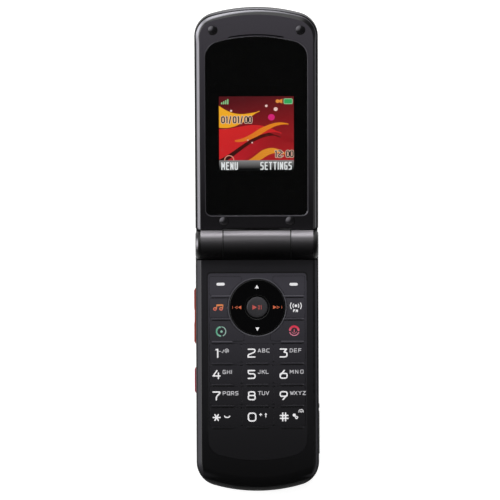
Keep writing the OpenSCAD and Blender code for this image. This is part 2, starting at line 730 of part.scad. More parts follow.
// Long rocker: two raised pads with a lower middle, on a pivot pin
module volume_rocker() color(brick) {
    x0 = -body_w/2 - side_proud;
    x1 = -body_w/2 + side_depth;
    hz = side_key_h/2;
    hy = rocker_len/2;
    pad = hy - 3;                          // length of each raised pad
    dip = 0.15;
    end_run = [0.5, 0.9];                  // sloped end of the rocker, out of and along the wall
    translate([0, rocker_y, side_z - hz]) linear_extrude(side_key_h) polygon([
        [x1, -hy], [x0 + end_run[0], -hy], [x0, -hy + end_run[1]], [x0, -hy + pad], [x0 + dip, -hy + pad + 1],
        [x0 + dip, hy - pad - 1], [x0, hy - pad], [x0, hy - end_run[1]], [x0 + end_run[0], hy], [x1, hy]]);
    for (s = [-1, 1]) translate([x1 - 0.1, rocker_y + s*rocker_nub_y, side_z]) rotate([0, 90, 0])
        cylinder(h = shell_wall - side_depth + 0.35 - rocker_tilt_room + 0.1, r = nub_r, $fn = 32);
    upright_pin(rocker_pin_x, rocker_y, side_key_h, rocker_pin_r, 0.2);
}

module side_key() color("#9c2435") {
    x0 = -body_w/2 - side_proud + 0.1;
    x1 = -body_w/2 + shell_wall;
    hz = side_key_h/2;
    hy = side_key_len/2;
    lip = 0.5;                             // flange that keeps the key in the wall
    end_run = [0.4, 0.8];
    translate([0, side_key_y, side_z - hz]) linear_extrude(side_key_h) polygon([
        [x1 + 0.2, -hy], [x0 + end_run[0], -hy], [x0, -hy + end_run[1]],
        [x0, hy - end_run[1]], [x0 + end_run[0], hy], [x1 + 0.2, hy]]);
    block([x1 + 0.05, side_key_y - hy - lip, side_z - hz - lip],
          [x1 + 0.35, side_key_y + hy + lip, side_z + hz + lip]);
}

// ---- Display half, drawn folded shut ----

module lid_outer_section() difference() {
    translate([0, lid_split]) square([flange_w, lid_top - lid_split]);
    translate([0, lid_top]) mirror([0, 1]) corner_off(lid_edge_r);
    translate([0, lid_split]) corner_off(0.4);
    difference() {
        translate([lid_wall, lid_split - cut]) square([flange_w, lid_top - lid_wall - lid_split + cut]);
        difference() {
            translate([lid_wall - cut, lid_top - lid_edge_r]) square([lid_edge_r - lid_wall + cut, lid_edge_r]);
            translate([lid_edge_r, lid_top - lid_edge_r]) circle(lid_edge_r - lid_wall, $fn = 64);
        }
    }
}

// Side view of an outer knuckle with the curve that leads the cover onto it
module knuckle_view() {
    blend_y = axis_y - 0.855*hinge_r;
    translate([axis_y, axis_z]) circle(hinge_r, $fn = 96);
    intersection() {
        translate([blend_y, lid_top - blend_r]) circle(blend_r, $fn = 128);
        translate([lid_end_y - 0.5, lid_split]) square([axis_y + 0.55*hinge_r - lid_end_y + 0.5, lid_t]);
    }
}

module lid_outer_cover() color(shell_black) opened() difference() {
    union() {
        edge_sweep(lid_end_y) lid_outer_section();
        translate([0, 0, lid_top - lid_wall]) linear_extrude(lid_wall)
            body_outline(lid_end_y, flange_w - overlap);
        block([-body_w/2 + lid_wall, lid_end_y - lid_wall, lid_split],
              [body_w/2 - lid_wall, lid_end_y, lid_top - lid_wall/2]);
        for (s = [0, 1]) mirror([s, 0, 0]) across(knuckle_x, cap_x - 0.05) knuckle_view();
        for (p = lid_screw_places) translate([p[0], p[1], lid_plate_z + lip_h + seat_gap])
            cylinder(h = lid_top - lid_wall/2 - lid_plate_z - lip_h - seat_gap, r = boss_r, $fn = 48);
    }
    barrel(-center_knuckle_len/2 - 0.2, center_knuckle_len/2 + 0.2, hinge_r + 0.8);
    barrel(0, body_w, cartridge_r + 0.05);
    barrel(-body_w, 0, pin_r + 0.05);
    for (p = lid_screw_places) translate([p[0], p[1], 0])
        cylinder(h = lid_top - lid_wall - 0.4, r = screw_r + seat_gap/2, $fn = 32);
}

module lid_inner_section() polygon([
    [rim_w, lid_split], [rim_w, lid_split - 0.2], [rim_w + bevel_w - 0.2, lid_z], [flange_w, lid_z],
    [flange_w, lid_plate_z], [lid_wall + side_gap + lip_t, lid_plate_z],
    [lid_wall + side_gap + lip_t, lid_plate_z + lip_h], [lid_wall + side_gap, lid_plate_z + lip_h],
    [lid_wall + side_gap, lid_split]]);

// Plan of the slot in front of the earpiece, which follows the window's curved top
module slot_plan(inset = 0) {
    re = window_w/2 - corner_cos*window_span + window_span + slot_land;
    translate([0, window_top + re - slot_land]) intersection() {
        difference() {
            circle(re + slot_h - inset, $fn = 360);
            circle(re + inset, $fn = 360);
        }
        translate([inset - slot_w/2, -re - slot_h]) square([slot_w - 2*inset, re]);
    }
}

module lid_inner_cover() color(frame_black) opened() difference() {
    union() {
        edge_sweep(lid_end_y) lid_inner_section();
        translate([0, 0, lid_z]) linear_extrude(lid_plate_t) body_outline(lid_end_y, flange_w - overlap);
        for (p = lid_screw_places) translate([p[0], p[1], lid_plate_z - overlap/2])
            cylinder(h = lip_h + overlap/2, r = boss_r, $fn = 48);
    }
    translate([0, 0, lid_z - cut]) linear_extrude(window_t + seat_gap + cut)
        outline(window_w + 2*seat_gap, window_top - seat_gap, window_end + seat_gap, window_span, 0, window_corner_r);
    block([-screen_size/2 - 1.4, screen_y - screen_size/2 - 2, lid_z],
          [screen_size/2 + 1.4, screen_y + screen_size/2 + 2, lid_top]);
    translate([0, 0, lid_z - cut]) linear_extrude(lid_plate_t + 2*cut) slot_plan();
    for (p = lid_screw_places) translate([p[0], p[1], 0]) {
        cylinder(h = lid_z + bumper_sink, r = bumper_r + seat_gap, $fn = 32);
        cylinder(h = lid_z + bumper_sink + screw_head_h, r = screw_head_r + seat_gap, $fn = 32);
        cylinder(h = lid_top, r = screw_r + seat_gap, $fn = 32);
    }
    barrel(-center_knuckle_len/2 - 0.2, center_knuckle_len/2 + 0.2, hinge_r + 1.1);
    block([-body_w, lid_end_y - lid_wall - seat_gap, lid_split - 0.1], [body_w, axis_y, lid_top]);
}

module hinge_caps() color(gloss_black) opened() for (s = [0, 1]) mirror([s, 0, 0]) {
    boss = s == 0 ? cartridge_r - 0.05 : pin_r - 0.05;
    edge = 1.5;
    translate([cap_x, axis_y, axis_z]) rotate([0, 90, 0]) rotate_extrude($fn = 96) {
        square([hinge_r - 0.1 - edge, cap_t]);
        square([hinge_r - 0.1, cap_t - edge]);
        translate([hinge_r - 0.1 - edge, cap_t - edge]) intersection() { circle(edge, $fn = 48); square(edge); }
    }
    barrel(cap_x - 0.9, cap_x + 0.1, boss);
}

// Spring cartridge in the right knuckle, whose stub turns in the centre knuckle
module hinge_cartridge() color("silver") opened() {
    barrel(knuckle_x + 0.1, cap_x - 1, cartridge_r);
    barrel(center_knuckle_len/2 - pin_depth, knuckle_x + 0.2, pin_r);
}

// Hollow bush in the left knuckle, which the flexible cable runs through
module hinge_bush() color("silver") opened() difference() {
    barrel(-cap_x + 1, -center_knuckle_len/2 + pin_depth, pin_r);
    barrel(-body_w, body_w, pin_r - 0.8);
}

module display_lens() color(gloss_black) opened() translate([0, 0, lid_z]) linear_extrude(window_t)
    outline(window_w, window_top, window_end, window_span, 0, window_corner_r);

module lcd_panel() color("#3b1a12") opened()
    block([-lcd_w/2, lcd_y, lcd_z], [lcd_w/2, lcd_y + lcd_len, lcd_z + lcd_t]);

// Tray that holds the panel
module lcd_frame() color("silver") opened() difference() {
    out = seat_gap + frame_wall;
    back = lcd_z + lcd_t + seat_gap;
    block([-lcd_w/2 - out, lcd_y - out, lcd_z], [lcd_w/2 + out, lcd_y + lcd_len + out, back + frame_back]);
    block([-lcd_w/2 - seat_gap, lcd_y - seat_gap, lcd_z - cut],
          [lcd_w/2 + seat_gap, lcd_y + lcd_len + seat_gap, back]);
}

module lid_board() color("#1f5a3a") opened()
    block([4.5 - body_w/2, lcd_y - 5, lid_board_z], [body_w/2 - 4.5, axis_y - 11.6, lid_board_z + board_t]);

module earpiece() color("#3a3a3c") opened() translate([0, slot_y, lid_plate_z]) linear_extrude(2.1)
    round_rect([-7.5, -2.5], [7.5, 5.5], 2.5);

module earpiece_mesh() color(silver) opened()
    translate([0, 0, lid_z + slot_h]) linear_extrude(lid_plate_t - slot_h) slot_plan(0.05);

// Rubber domes that meet the keypad half when the phone is shut
module lid_bumpers() color("#3c3c40") opened() for (p = lid_screw_places)
    translate([p[0], p[1], lid_z - bumper_h]) rotate_extrude($fn = 48) {
        dome_r = (pow(bumper_r, 2) + pow(bumper_h, 2))/(2*bumper_h);
        intersection() {
            translate([0, dome_r]) circle(dome_r, $fn = 96);
            square([bumper_r, bumper_h + 0.01]);
        }
        translate([0, bumper_h]) square([bumper_r, bumper_sink]);
    }

module lid_screws() color("silver") opened() {
    head_z = lid_z + bumper_sink + seat_gap/2;
    for (p = lid_screw_places) translate([p[0], p[1], head_z]) {
        cylinder(h = screw_head_h - seat_gap/2, r = screw_head_r, $fn = 32);
        cylinder(h = lid_top - lid_wall - 0.6 - head_z, r = screw_r, $fn = 32);
    }
}

module lid_magnet() color("silver") opened() translate([6 - body_w/2, end_y + 19, lid_plate_z])
    cylinder(h = 2, r = 1.3, $fn = 32);

// ---- Assembly ----

rear_housing();
front_housing();
keypad_web();
battery_cover();
battery_pack();
battery_contacts();
main_board();
shield_cans();
dome_sheet();
loudspeaker();
microphone();
vibration_motor();
antenna();
usb_socket();
sim_holder();
memory_card_slot();
housing_screws();
side_switches();
flex_cable();
port_cover();
volume_rocker();
side_key();
for (i = [0:11]) number_key(i);
side_column_key(0, 1);  // softkey_left
side_column_key(0, 0);  // softkey_right
side_column_key(1, 1);  // music_key
side_column_key(1, 0);  // radio_key
side_column_key(2, 1);  // send_key
side_column_key(2, 0);  // end_key
center_key();
nav_gimbal();
nav_ring();
lid_outer_cover();
lid_inner_cover();
hinge_caps();
hinge_cartridge();
hinge_bush();
display_lens();
lcd_panel();
lcd_frame();
lid_board();
earpiece();
earpiece_mesh();
lid_bumpers();
lid_screws();
lid_magnet();
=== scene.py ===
"""Black clamshell phone lying open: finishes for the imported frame, and its prints, screen and trim."""
import logging
import math
from dataclasses import dataclass, field
from enum import Enum
from typing import Callable, Iterable, Optional, Sequence

import bmesh
import bpy
import numpy as np
from mathutils import Matrix, Vector


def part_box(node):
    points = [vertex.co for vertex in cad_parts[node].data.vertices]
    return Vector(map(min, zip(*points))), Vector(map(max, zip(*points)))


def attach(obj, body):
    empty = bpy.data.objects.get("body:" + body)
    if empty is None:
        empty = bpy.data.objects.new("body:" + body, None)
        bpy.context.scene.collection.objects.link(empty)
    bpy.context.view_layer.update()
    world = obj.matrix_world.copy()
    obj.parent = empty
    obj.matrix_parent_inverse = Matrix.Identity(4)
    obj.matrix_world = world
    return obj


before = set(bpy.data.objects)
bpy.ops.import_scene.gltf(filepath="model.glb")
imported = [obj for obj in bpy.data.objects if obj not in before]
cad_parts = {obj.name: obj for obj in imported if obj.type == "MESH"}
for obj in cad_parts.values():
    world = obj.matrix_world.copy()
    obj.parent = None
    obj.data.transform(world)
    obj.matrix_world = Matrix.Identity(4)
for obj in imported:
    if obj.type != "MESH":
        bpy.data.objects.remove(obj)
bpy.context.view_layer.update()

LOG = logging.getLogger("phone")
MM = 0.001
Point = tuple[float, float]
Tree = bpy.types.NodeTree
Node = bpy.types.Node
Socket = bpy.types.NodeSocket

# Landmarks of the frame, in millimetres
BODY_W = 46.0
AXIS_Y = 43.5
AXIS_Z = 10.25
OPEN_ANGLE = math.radians(160.0)
HINGE_R = 5.5
BASE_T = 10.0
KEY_TOP = 9.9
LID_FACE = 10.5
# direction in which a free end's corner arcs meet its long arc
CORNER_COS, CORNER_SIN = 0.28, 0.96
# thickness of printed ink and of ink-filled lines, and how far such a layer reaches into what carries it
INK_T = 0.03
LINE_T = 0.012
SINK = 0.01


# ---- Node graphs ----

def linear(colour: str) -> tuple[float, float, float, float]:
    """Turns an sRGB hex colour to linear light.

    Args:
        colour: Six hex digits after a hash sign.

    Returns:
        Red, green, blue and an alpha of one.
    """
    parts = [int(colour[i:i + 2], 16) / 255 for i in (1, 3, 5)]
    red, green, blue = (p / 12.92 if p <= 0.04045 else ((p + 0.055) / 1.055) ** 2.4 for p in parts)
    return red, green, blue, 1.0


def add_node(tree: Tree, kind: str, values: Optional[dict] = None,
             links: Optional[dict] = None, **settings: object) -> Node:
    """Adds a node with its settings, socket values and links.

    Args:
        tree: Node tree that gets the node.
        kind: Blender's name for the node, without ShaderNode.
        values: Socket name or index to value.
        links: Socket name or index to the output that feeds it, or to a node whose first output does.
        **settings: Properties of the node.

    Returns:
        The new node.
    """
    node = tree.nodes.new("ShaderNode" + kind)
    for key, value in settings.items():
        setattr(node, key, value)
    for key, value in (values or {}).items():
        node.inputs[key].default_value = value
    for key, source in (links or {}).items():
        tree.links.new(source.outputs[0] if isinstance(source, Node) else source, node.inputs[key])
    return node


# ---- Finishes ----

@dataclass(frozen=True)
class Finish:
    """A surface with a fine grain: the base of every finish of the phone.

    Its grain moves the colour, the roughness and the height together, as a real mould's texture does.
    """

    name: str
    colour: str
    roughness: float
    metallic: float = 0.0
    ior: float = 1.5
    grain_mm: float = 0.3
    depth_mm: float = 0.004
    shade: float = 0.12
    gloss_spread: float = 0.06
    coat: float = 0.0
    coat_roughness: float = 0.05
    # painted shade: from the light place to the dark place along Y the colour darkens to the level deep,
    # along a curve of power fall
    painted_dark_y: float = 0.0
    painted_light_y: float = 0.0
    deep: float = 1.0
    fall: float = 1.0

    def build(self) -> bpy.types.Material:
        """Returns the finish as a material, made once and then reused."""
        found = bpy.data.materials.get(self.name)
        if found:
            return found
        material = bpy.data.materials.new(self.name)
        material.use_nodes = True
        tree = material.node_tree
        shader = tree.nodes["Principled BSDF"]
        shader.inputs["Metallic"].default_value = self.metallic
        if self.metallic == 0.0:
            shader.inputs["IOR"].default_value = self.ior
        shader.inputs["Coat Weight"].default_value = self.coat
        shader.inputs["Coat Roughness"].default_value = self.coat_roughness
        coords = add_node(tree, "TexCoord")
        self.dress(tree, shader, coords)
        return material

    def grain(self, tree: Tree, coords: Node) -> Socket:
        """Makes the height pattern of the surface.

        Args:
            tree: Node tree of the material.
            coords: Texture coordinate node.

        Returns:
            A value from 0 to 1 that follows the grain.
        """
        noise = add_node(tree, "TexNoise",
                         {"Scale": 1 / (self.grain_mm * MM), "Detail": 2.0, "Roughness": 0.6},
                         {"Vector": coords.outputs["Object"]})
        return noise.outputs["Fac"]

    def tint(self, tree: Tree, coords: Node, height: Socket) -> Socket:
        """Makes the colour, which darkens and lightens a little with the grain, and takes a painted shade
        that darkens it towards one end along Y where one is set.

        Args:
            tree: Node tree of the material.
            coords: Texture coordinate node.
            height: The grain.

        Returns:
            The colour output.
        """
        red, green, blue, _ = linear(self.colour)
        low, high = 1 - self.shade, 1 + self.shade
        mix = add_node(tree, "Mix", {6: (red * low, green * low, blue * low, 1),
                                     7: (min(red * high, 1), min(green * high, 1), min(blue * high, 1), 1)},
                       {0: height}, data_type="RGBA")
        if self.deep == 1.0:
            return mix.outputs[2]
        # painted shade: darker towards one end along Y, standing in for the falloff of the light
        place = add_node(tree, "SeparateXYZ", links={0: coords.outputs["Object"]})
        share = add_node(tree, "MapRange", {1: self.painted_dark_y * MM, 2: self.painted_light_y * MM},
                         {0: place.outputs["Y"]})
        curve = add_node(tree, "Math", {1: self.fall}, {0: share}, operation="POWER")
        run = add_node(tree, "MapRange", {3: self.deep, 4: 1.0}, {0: curve})
        depth = add_node(tree, "VectorMath", links={0: mix.outputs[2], 1: run}, operation="MULTIPLY")
        return depth.outputs[0]

    def dress(self, tree: Tree, shader: Node, coords: Node) -> None:
        """Links colour, roughness and bump to the shader.

        Args:
            tree: Node tree of the material.
            shader: Its Principled shader.
            coords: Texture coordinate node.
        """
        height = self.grain(tree, coords)
        tree.links.new(self.tint(tree, coords, height), shader.inputs["Base Color"])
        rough = add_node(tree, "MapRange", {3: max(self.roughness - self.gloss_spread, 0.02),
                                            4: min(self.roughness + self.gloss_spread, 1.0)}, {0: height})
        tree.links.new(rough.outputs[0], shader.inputs["Roughness"])
        bump = add_node(tree, "Bump", {"Strength": 1.0, "Distance": self.depth_mm * MM}, {"Height": height})
        tree.links.new(bump.outputs[0], shader.inputs["Normal"])

    def cover(self, tree: Tree, shader: Node, share: Socket, values: dict[str, object]) -> None:
        """Lays another coat over this finish where a mask is one.

        Args:
            tree: Node tree of the material.
            shader: Its Principled shader.
            share: The mask.
            values: Name of a socket of the shader to the coat's value, colour or output for it.
        """
        for name, value in values.items():
            socket = shader.inputs[name]
            kind, under, over, out = ("RGBA", 6, 7, 2) if name == "Base Color" else ("FLOAT", 2, 3, 0)
            mix = add_node(tree, "Mix", links={0: share}, data_type=kind)
            if socket.is_linked:
                tree.links.new(socket.links[0].from_socket, mix.inputs[under])
            else:
                mix.inputs[under].default_value = socket.default_value
            if isinstance(value, Socket):
                tree.links.new(value, mix.inputs[over])
            else:
                mix.inputs[over].default_value = value
            tree.links.new(mix.outputs[out], socket)


@dataclass(frozen=True)
class LacqueredBezel(Finish):
    """Charcoal lacquer on a moulded frame, with painted light on its bevel and a painted silver stripe on the
    barrel.

    The lacquer reads as a soft dark grey. A metallic coat on the bevel gives the light line that follows each
    half's outline: it reflects the lamps, but it is laid, and tinted from left to right, only where the
    highlight falls, so it is partly painted highlight, and the bare bevel beside it gets painted shade.
    Depths are counted below the half's face, tilts are cosines to its normal, and places on the barrel are
    shares of its radius, counted towards the free end of the display half.
    """

    facing: tuple[float, float, float] = (0.0, 0.0, 1.0)
    face_mm: float = BASE_T
    # tilts between which the coat comes in from the wall, and those between which it gives way to the face
    tilt_low: tuple[float, float] = (0.42, 0.5)
    tilt_high: tuple[float, float] = (0.97, 0.92)
    # depths where the painted highlight's coat begins, at the left and at the right, and where it stops
    highlight_from: tuple[float, float] = (0.25, 0.25)
    highlight_to: float = 1.3
    highlight_start_y: float = -44.0
    # colours of the coat at the left and at the right: a painted highlight that changes as the light does
    highlight_colour: str = "#38373b"
    highlight_colour_right: str = ""
    bevel_roughness: float = 0.36
    bevel_metallic: float = 0.85
    # painted shade: share of colour that the bare bevel loses at the right, and round the free end, where the
    # highlight's coat lies lower
    painted_shade_right: float = 0.0
    end_from_y: float = 900.0
    end_shift: float = 0.0
    painted_shade_end: float = 0.0
    # places where the painted silver stripe starts and is whole, its strength, and the places of its dark far
    # edge
    painted_streak: tuple[float, float, float] = (0.39, 0.9, 0.69)
    painted_streak_edge: tuple[float, float] = (0.99, 0.93)
    knuckle_roughness: float = 0.5
    knuckle_metallic: float = 0.9
    # the highlight's coat stays this far off the hinge's axis, except on the rim
    knuckle_room: float = 14.0
    rim_w: float = 3.0

    def end_share(self, tree: Tree, place: Node, most: float) -> Socket:
        """Makes a value that rises to the most round the free end.

        Args:
            tree: Node tree of the material.
            place: The coordinates taken apart.
            most: The value there.

        Returns:
            The value.
        """
        return add_node(tree, "MapRange", {1: self.end_from_y * MM, 2: (self.end_from_y + 6) * MM, 4: most},
                        {0: place.outputs["Y"]}).outputs[0]

    def highlight_band(self, tree: Tree, coords: Node, place: Node) -> Socket:
        """Makes the band of depths that the coat of painted highlight covers.

        It starts lower on the right and round the free end, where the highlight lies lower.

        Args:
            tree: Node tree of the material.
            coords: Texture coordinate node.
            place: The coordinates taken apart.

        Returns:
            A value of one inside the band.
        """
        level = add_node(tree, "VectorMath", {1: self.facing}, {0: coords.outputs["Object"]},
                         operation="DOT_PRODUCT")
        depth = add_node(tree, "Math", {0: self.face_mm * MM}, {1: level.outputs["Value"]},
                         operation="SUBTRACT")
        left, right = (c * MM for c in self.highlight_from)
        begin = add_node(tree, "MapRange", {1: -20 * MM, 2: 20 * MM, 3: left, 4: right},
                         {0: place.outputs["X"]})
        shift = self.end_share(tree, place, self.end_shift * MM)
        shifted = add_node(tree, "Math", links={0: depth, 1: shift}, operation="SUBTRACT")
        past = add_node(tree, "Math", links={0: shifted, 1: begin}, operation="SUBTRACT")
        inside = add_node(tree, "MapRange", {1: -0.2 * MM, 2: 0.2 * MM}, {0: past})
        short = add_node(tree, "MapRange", {1: (self.highlight_to + 0.1) * MM, 2: (self.highlight_to - 0.1) * MM},
                         {0: shifted})
        return add_node(tree, "Math", links={0: inside, 1: short}, operation="MULTIPLY").outputs[0]

    def bevel_faces(self, tree: Tree, coords: Node, place: Node, reach: Socket) -> Socket:
        """Makes a mask of the faces that slope as the bevel does, away from the middle knuckle.

        Args:
            tree: Node tree of the material.
            coords: Texture coordinate node.
            place: The coordinates taken apart.
            reach: Distance from the hinge's axis.

        Returns:
            A value of one on the bevel.
        """
        tilt = add_node(tree, "VectorMath", {1: self.facing}, {0: coords.outputs["Normal"]},
                        operation="DOT_PRODUCT")
        above, below = (add_node(tree, "MapRange", {1: none, 2: whole}, {0: tilt.outputs["Value"]})
                        for none, whole in (self.tilt_low, self.tilt_high))
        start = add_node(tree, "MapRange", {1: self.highlight_start_y * MM, 2: (self.highlight_start_y + 3) * MM},
                         {0: place.outputs["Y"]})
        away = add_node(tree, "MapRange", {1: self.knuckle_room * MM, 2: (self.knuckle_room + 1) * MM},
                        {0: reach})
        aside = add_node(tree, "Math", links={0: place.outputs["X"]}, operation="ABSOLUTE")
        rim_x = BODY_W / 2 - self.rim_w
        rim = add_node(tree, "MapRange", {1: (rim_x - 0.2) * MM, 2: (rim_x + 0.2) * MM}, {0: aside})
        mask = add_node(tree, "Math", links={0: away, 1: rim}, operation="MAXIMUM").outputs[0]
        for other in (above, below, start):
            mask = add_node(tree, "Math", links={0: mask, 1: other}, operation="MULTIPLY").outputs[0]
        return mask

    def bare_painted_shade(self, tree: Tree, place: Node, bevel: Socket, coated: Socket) -> Socket:
        """Makes the factor of painted shade that darkens the lacquer on the bare part of the bevel.

        Args:
            tree: Node tree of the material.
            place: The coordinates taken apart.
            bevel: Mask of the bevel.
            coated: Mask of its coated part.

        Returns:
            One where the lacquer keeps its colour, and less on the bare bevel.
        """
        bare = add_node(tree, "Math", links={0: bevel, 1: coated}, operation="SUBTRACT")
        far = add_node(tree, "MapRange", {1: 8 * MM, 2: 16 * MM, 4: self.painted_shade_right},
                       {0: place.outputs["X"]})
        end = self.end_share(tree, place, self.painted_shade_end)
        most = add_node(tree, "Math", links={0: far, 1: end}, operation="MAXIMUM")
        dark = add_node(tree, "Math", links={0: bare, 1: most}, operation="MULTIPLY")
        return add_node(tree, "Math", {0: 1.0}, {1: dark}, operation="SUBTRACT").outputs[0]

    def highlight_tone(self, tree: Tree, place: Node) -> Socket:
        """Makes the coat's colour, a painted highlight that changes from the left to the right as the light
        does.

        Args:
            tree: Node tree of the material.
            place: The coordinates taken apart.

        Returns:
            The colour output.
        """
        share = add_node(tree, "MapRange", {1: -15 * MM, 2: 15 * MM}, {0: place.outputs["X"]})
        left, right = linear(self.highlight_colour), linear(self.highlight_colour_right or self.highlight_colour)
        return add_node(tree, "Mix", {6: left, 7: right}, {0: share}, data_type="RGBA").outputs[2]

    def painted_streak_tone(self, tree: Tree, spoke: Node) -> Socket:
        """Makes the barrel's painted highlight: silver along its upper back, fading to near black round its
        front.

        Args:
            tree: Node tree of the material.
            spoke: Vector from the hinge's axis.

        Returns:
            The colour output.
        """
        radius = HINGE_R * MM
        out = add_node(tree, "SeparateXYZ", links={0: spoke})
        foot, top, most = self.painted_streak
        silver = add_node(tree, "MapRange", {1: foot * radius, 2: top * radius, 4: most},
                          {0: out.outputs["Y"]}, interpolation_type="SMOOTHSTEP")
        upper = add_node(tree, "MapRange", {1: 0.02 * radius, 2: 0.2 * radius}, {0: out.outputs["Z"]})
        crown = add_node(tree, "Math", links={0: silver, 1: upper}, operation="MULTIPLY")
        low = add_node(tree, "MapRange", {1: -0.86 * radius, 2: 0.5 * radius, 3: 0.012, 4: 0.1},
                       {0: out.outputs["Y"]}, interpolation_type="SMOOTHSTEP")
        both = add_node(tree, "Math", links={0: crown, 1: low}, operation="ADD")
        dark, clear = self.painted_streak_edge
        edge = add_node(tree, "MapRange", {1: dark * radius, 2: clear * radius, 3: 0.02},
                        {0: out.outputs["Y"]})
        grey = add_node(tree, "Math", links={0: both, 1: edge}, operation="MULTIPLY")
        return add_node(tree, "VectorMath", {1: linear("#fdf8ff")[:3]}, {0: grey},
                        operation="MULTIPLY").outputs[0]

    def dress(self, tree: Tree, shader: Node, coords: Node) -> None:
        """Links the lacquer, the bevel's painted light and the barrel's painted silver stripe to the shader.

        Args:
            tree: Node tree of the material.
            shader: Its Principled shader.
            coords: Texture coordinate node.
        """
        super().dress(tree, shader, coords)
        place = add_node(tree, "SeparateXYZ", links={0: coords.outputs["Object"]})
        spoke = add_node(tree, "VectorMath", {1: (0, 1, 1), 2: (0, -AXIS_Y * MM, -AXIS_Z * MM)},
                         {0: coords.outputs["Object"]}, operation="MULTIPLY_ADD")
        reach = add_node(tree, "VectorMath", links={0: spoke}, operation="LENGTH").outputs["Value"]
        bevel = self.bevel_faces(tree, coords, place, reach)
        coated = add_node(tree, "Math", links={0: self.highlight_band(tree, coords, place), 1: bevel},
                          operation="MULTIPLY").outputs[0]
        # painted shade on the bare bevel
        lacquer = shader.inputs["Base Color"].links[0].from_socket
        shade = self.bare_painted_shade(tree, place, bevel, coated)
        shaded = add_node(tree, "VectorMath", links={0: lacquer, 1: shade}, operation="MULTIPLY")
        tree.links.new(shaded.outputs[0], shader.inputs["Base Color"])
        # metallic coat where the highlight falls: lamp-lit, and partly painted highlight
        self.cover(tree, shader, coated, {"Base Color": self.highlight_tone(tree, place),
                                          "Roughness": self.bevel_roughness, "Metallic": self.bevel_metallic})
        # painted highlight: a silver stripe on the barrel
        knuckle = add_node(tree, "MapRange", {1: (HINGE_R + 0.45) * MM, 2: (HINGE_R + 0.3) * MM}, {0: reach})
        self.cover(tree, shader, knuckle.outputs[0], {"Base Color": self.painted_streak_tone(tree, spoke),
                                                      "Roughness": self.knuckle_roughness,
                                                      "Metallic": self.knuckle_metallic})


@dataclass(frozen=True)
class SheenDome(Finish):
    """A moulded dome with a painted highlight: a soft pale crescent on the shoulder that faces one way."""

    facing: tuple[float, float, float] = (0.0, 0.0, 1.0)
    sheen_tilt: tuple[float, float] = (0.8, 1.0)
    sheen_colour: str = "#77757b"
    sheen_roughness: float = 0.4
    sheen_metallic: float = 0.2

    def dress(self, tree: Tree, shader: Node, coords: Node) -> None:
        """Links the skin and the painted highlight on its shoulder to the shader.

        Args:
            tree: Node tree of the material.
            shader: Its Principled shader.
            coords: Texture coordinate node.
        """
        super().dress(tree, shader, coords)
        tilt = add_node(tree, "VectorMath", {1: self.facing}, {0: coords.outputs["Normal"]},
                        operation="DOT_PRODUCT")
        share = add_node(tree, "MapRange", dict(zip((1, 2), self.sheen_tilt)), {0: tilt.outputs["Value"]})
        self.cover(tree, shader, share.outputs[0], {"Base Color": linear(self.sheen_colour),
                                                    "Roughness": self.sheen_roughness,
                                                    "Metallic": self.sheen_metallic})


@dataclass(frozen=True)
class BrushedMetal(Finish):
    """Rolled or brushed sheet metal: fine lines along one direction that stretch the highlights."""

    along: int = 0

    def grain(self, tree: Tree, coords: Node) -> Socket:
        """Makes lines that run along one axis.

        Args:
            tree: Node tree of the material.
            coords: Texture coordinate node.

        Returns:
            A value from 0 to 1 that follows the lines.
        """
        scale = [1.0, 1.0, 1.0]
        scale[self.along] = 0.04
        stretch = add_node(tree, "Mapping", {"Scale": scale}, {"Vector": coords.outputs["Object"]})
        noise = add_node(tree, "TexNoise", {"Scale": 1 / (self.grain_mm * MM), "Detail": 3.0},
                         {"Vector": stretch})
        return noise.outputs["Fac"]


@dataclass(frozen=True)
class WovenMesh(Finish):
    """Fine woven wire cloth, whose crossing wires make a dotted grey."""

    def grain(self, tree: Tree, coords: Node) -> Socket:
        """Makes two crossing sets of wires.

        Args:
            tree: Node tree of the material.
            coords: Texture coordinate node.

        Returns:
            A value from 0 to 1, high on the wires.
        """
        # a wave repeats every 0.31 units at a scale of one
        waves = [add_node(tree, "TexWave", {"Scale": 0.31 / (self.grain_mm * MM)},
                          {"Vector": coords.outputs["Object"]}, bands_direction=axis) for axis in ("X", "Y")]
        both = add_node(tree, "Math", links={0: waves[0].outputs["Fac"], 1: waves[1].outputs["Fac"]},
                        operation="MAXIMUM")
        return both.outputs[0]


@dataclass(frozen=True)
class BoardLacquer(Finish):
    """Green solder mask over etched copper: tracks show as lighter lines under the lacquer."""

    def grain(self, tree: Tree, coords: Node) -> Socket:
        """Makes blocky tracks.

        Args:
            tree: Node tree of the material.
            coords: Texture coordinate node.

        Returns:
            A value from 0 to 1, high on the tracks.
        """
        cells = add_node(tree, "TexVoronoi", {"Scale": 1 / (self.grain_mm * MM)},
                         {"Vector": coords.outputs["Object"]}, distance="CHEBYCHEV", feature="F1")
        edge = add_node(tree, "MapRange", {1: 0.3, 2: 0.36}, {0: cells.outputs["Distance"]})
        return edge.outputs[0]


@dataclass(frozen=True)
class PrintInk(Finish):
    """Screen-printed ink: a flat dry layer whose colour may run from one shade to another across the sign."""

    far_colour: str = ""
    axis: int = 1
    near_mm: float = 0.0
    far_mm: float = 1.0

    def tint(self, tree: Tree, coords: Node, height: Socket) -> Socket:
        """Makes the ink's colour, with its run of shade where it has one.

        Args:
            tree: Node tree of the material.
            coords: Texture coordinate node.
            height: The grain.

        Returns:
            The colour output.
        """
        base = super().tint(tree, coords, height)
        if not self.far_colour:
            return base
        place = add_node(tree, "SeparateXYZ", links={0: coords.outputs["Object"]})
        run = add_node(tree, "MapRange", {1: self.near_mm * MM, 2: self.far_mm * MM},
                       {0: place.outputs[self.axis]})
        mix = add_node(tree, "Mix", {7: linear(self.far_colour)}, {0: run, 6: base}, data_type="RGBA")
        return mix.outputs[2]


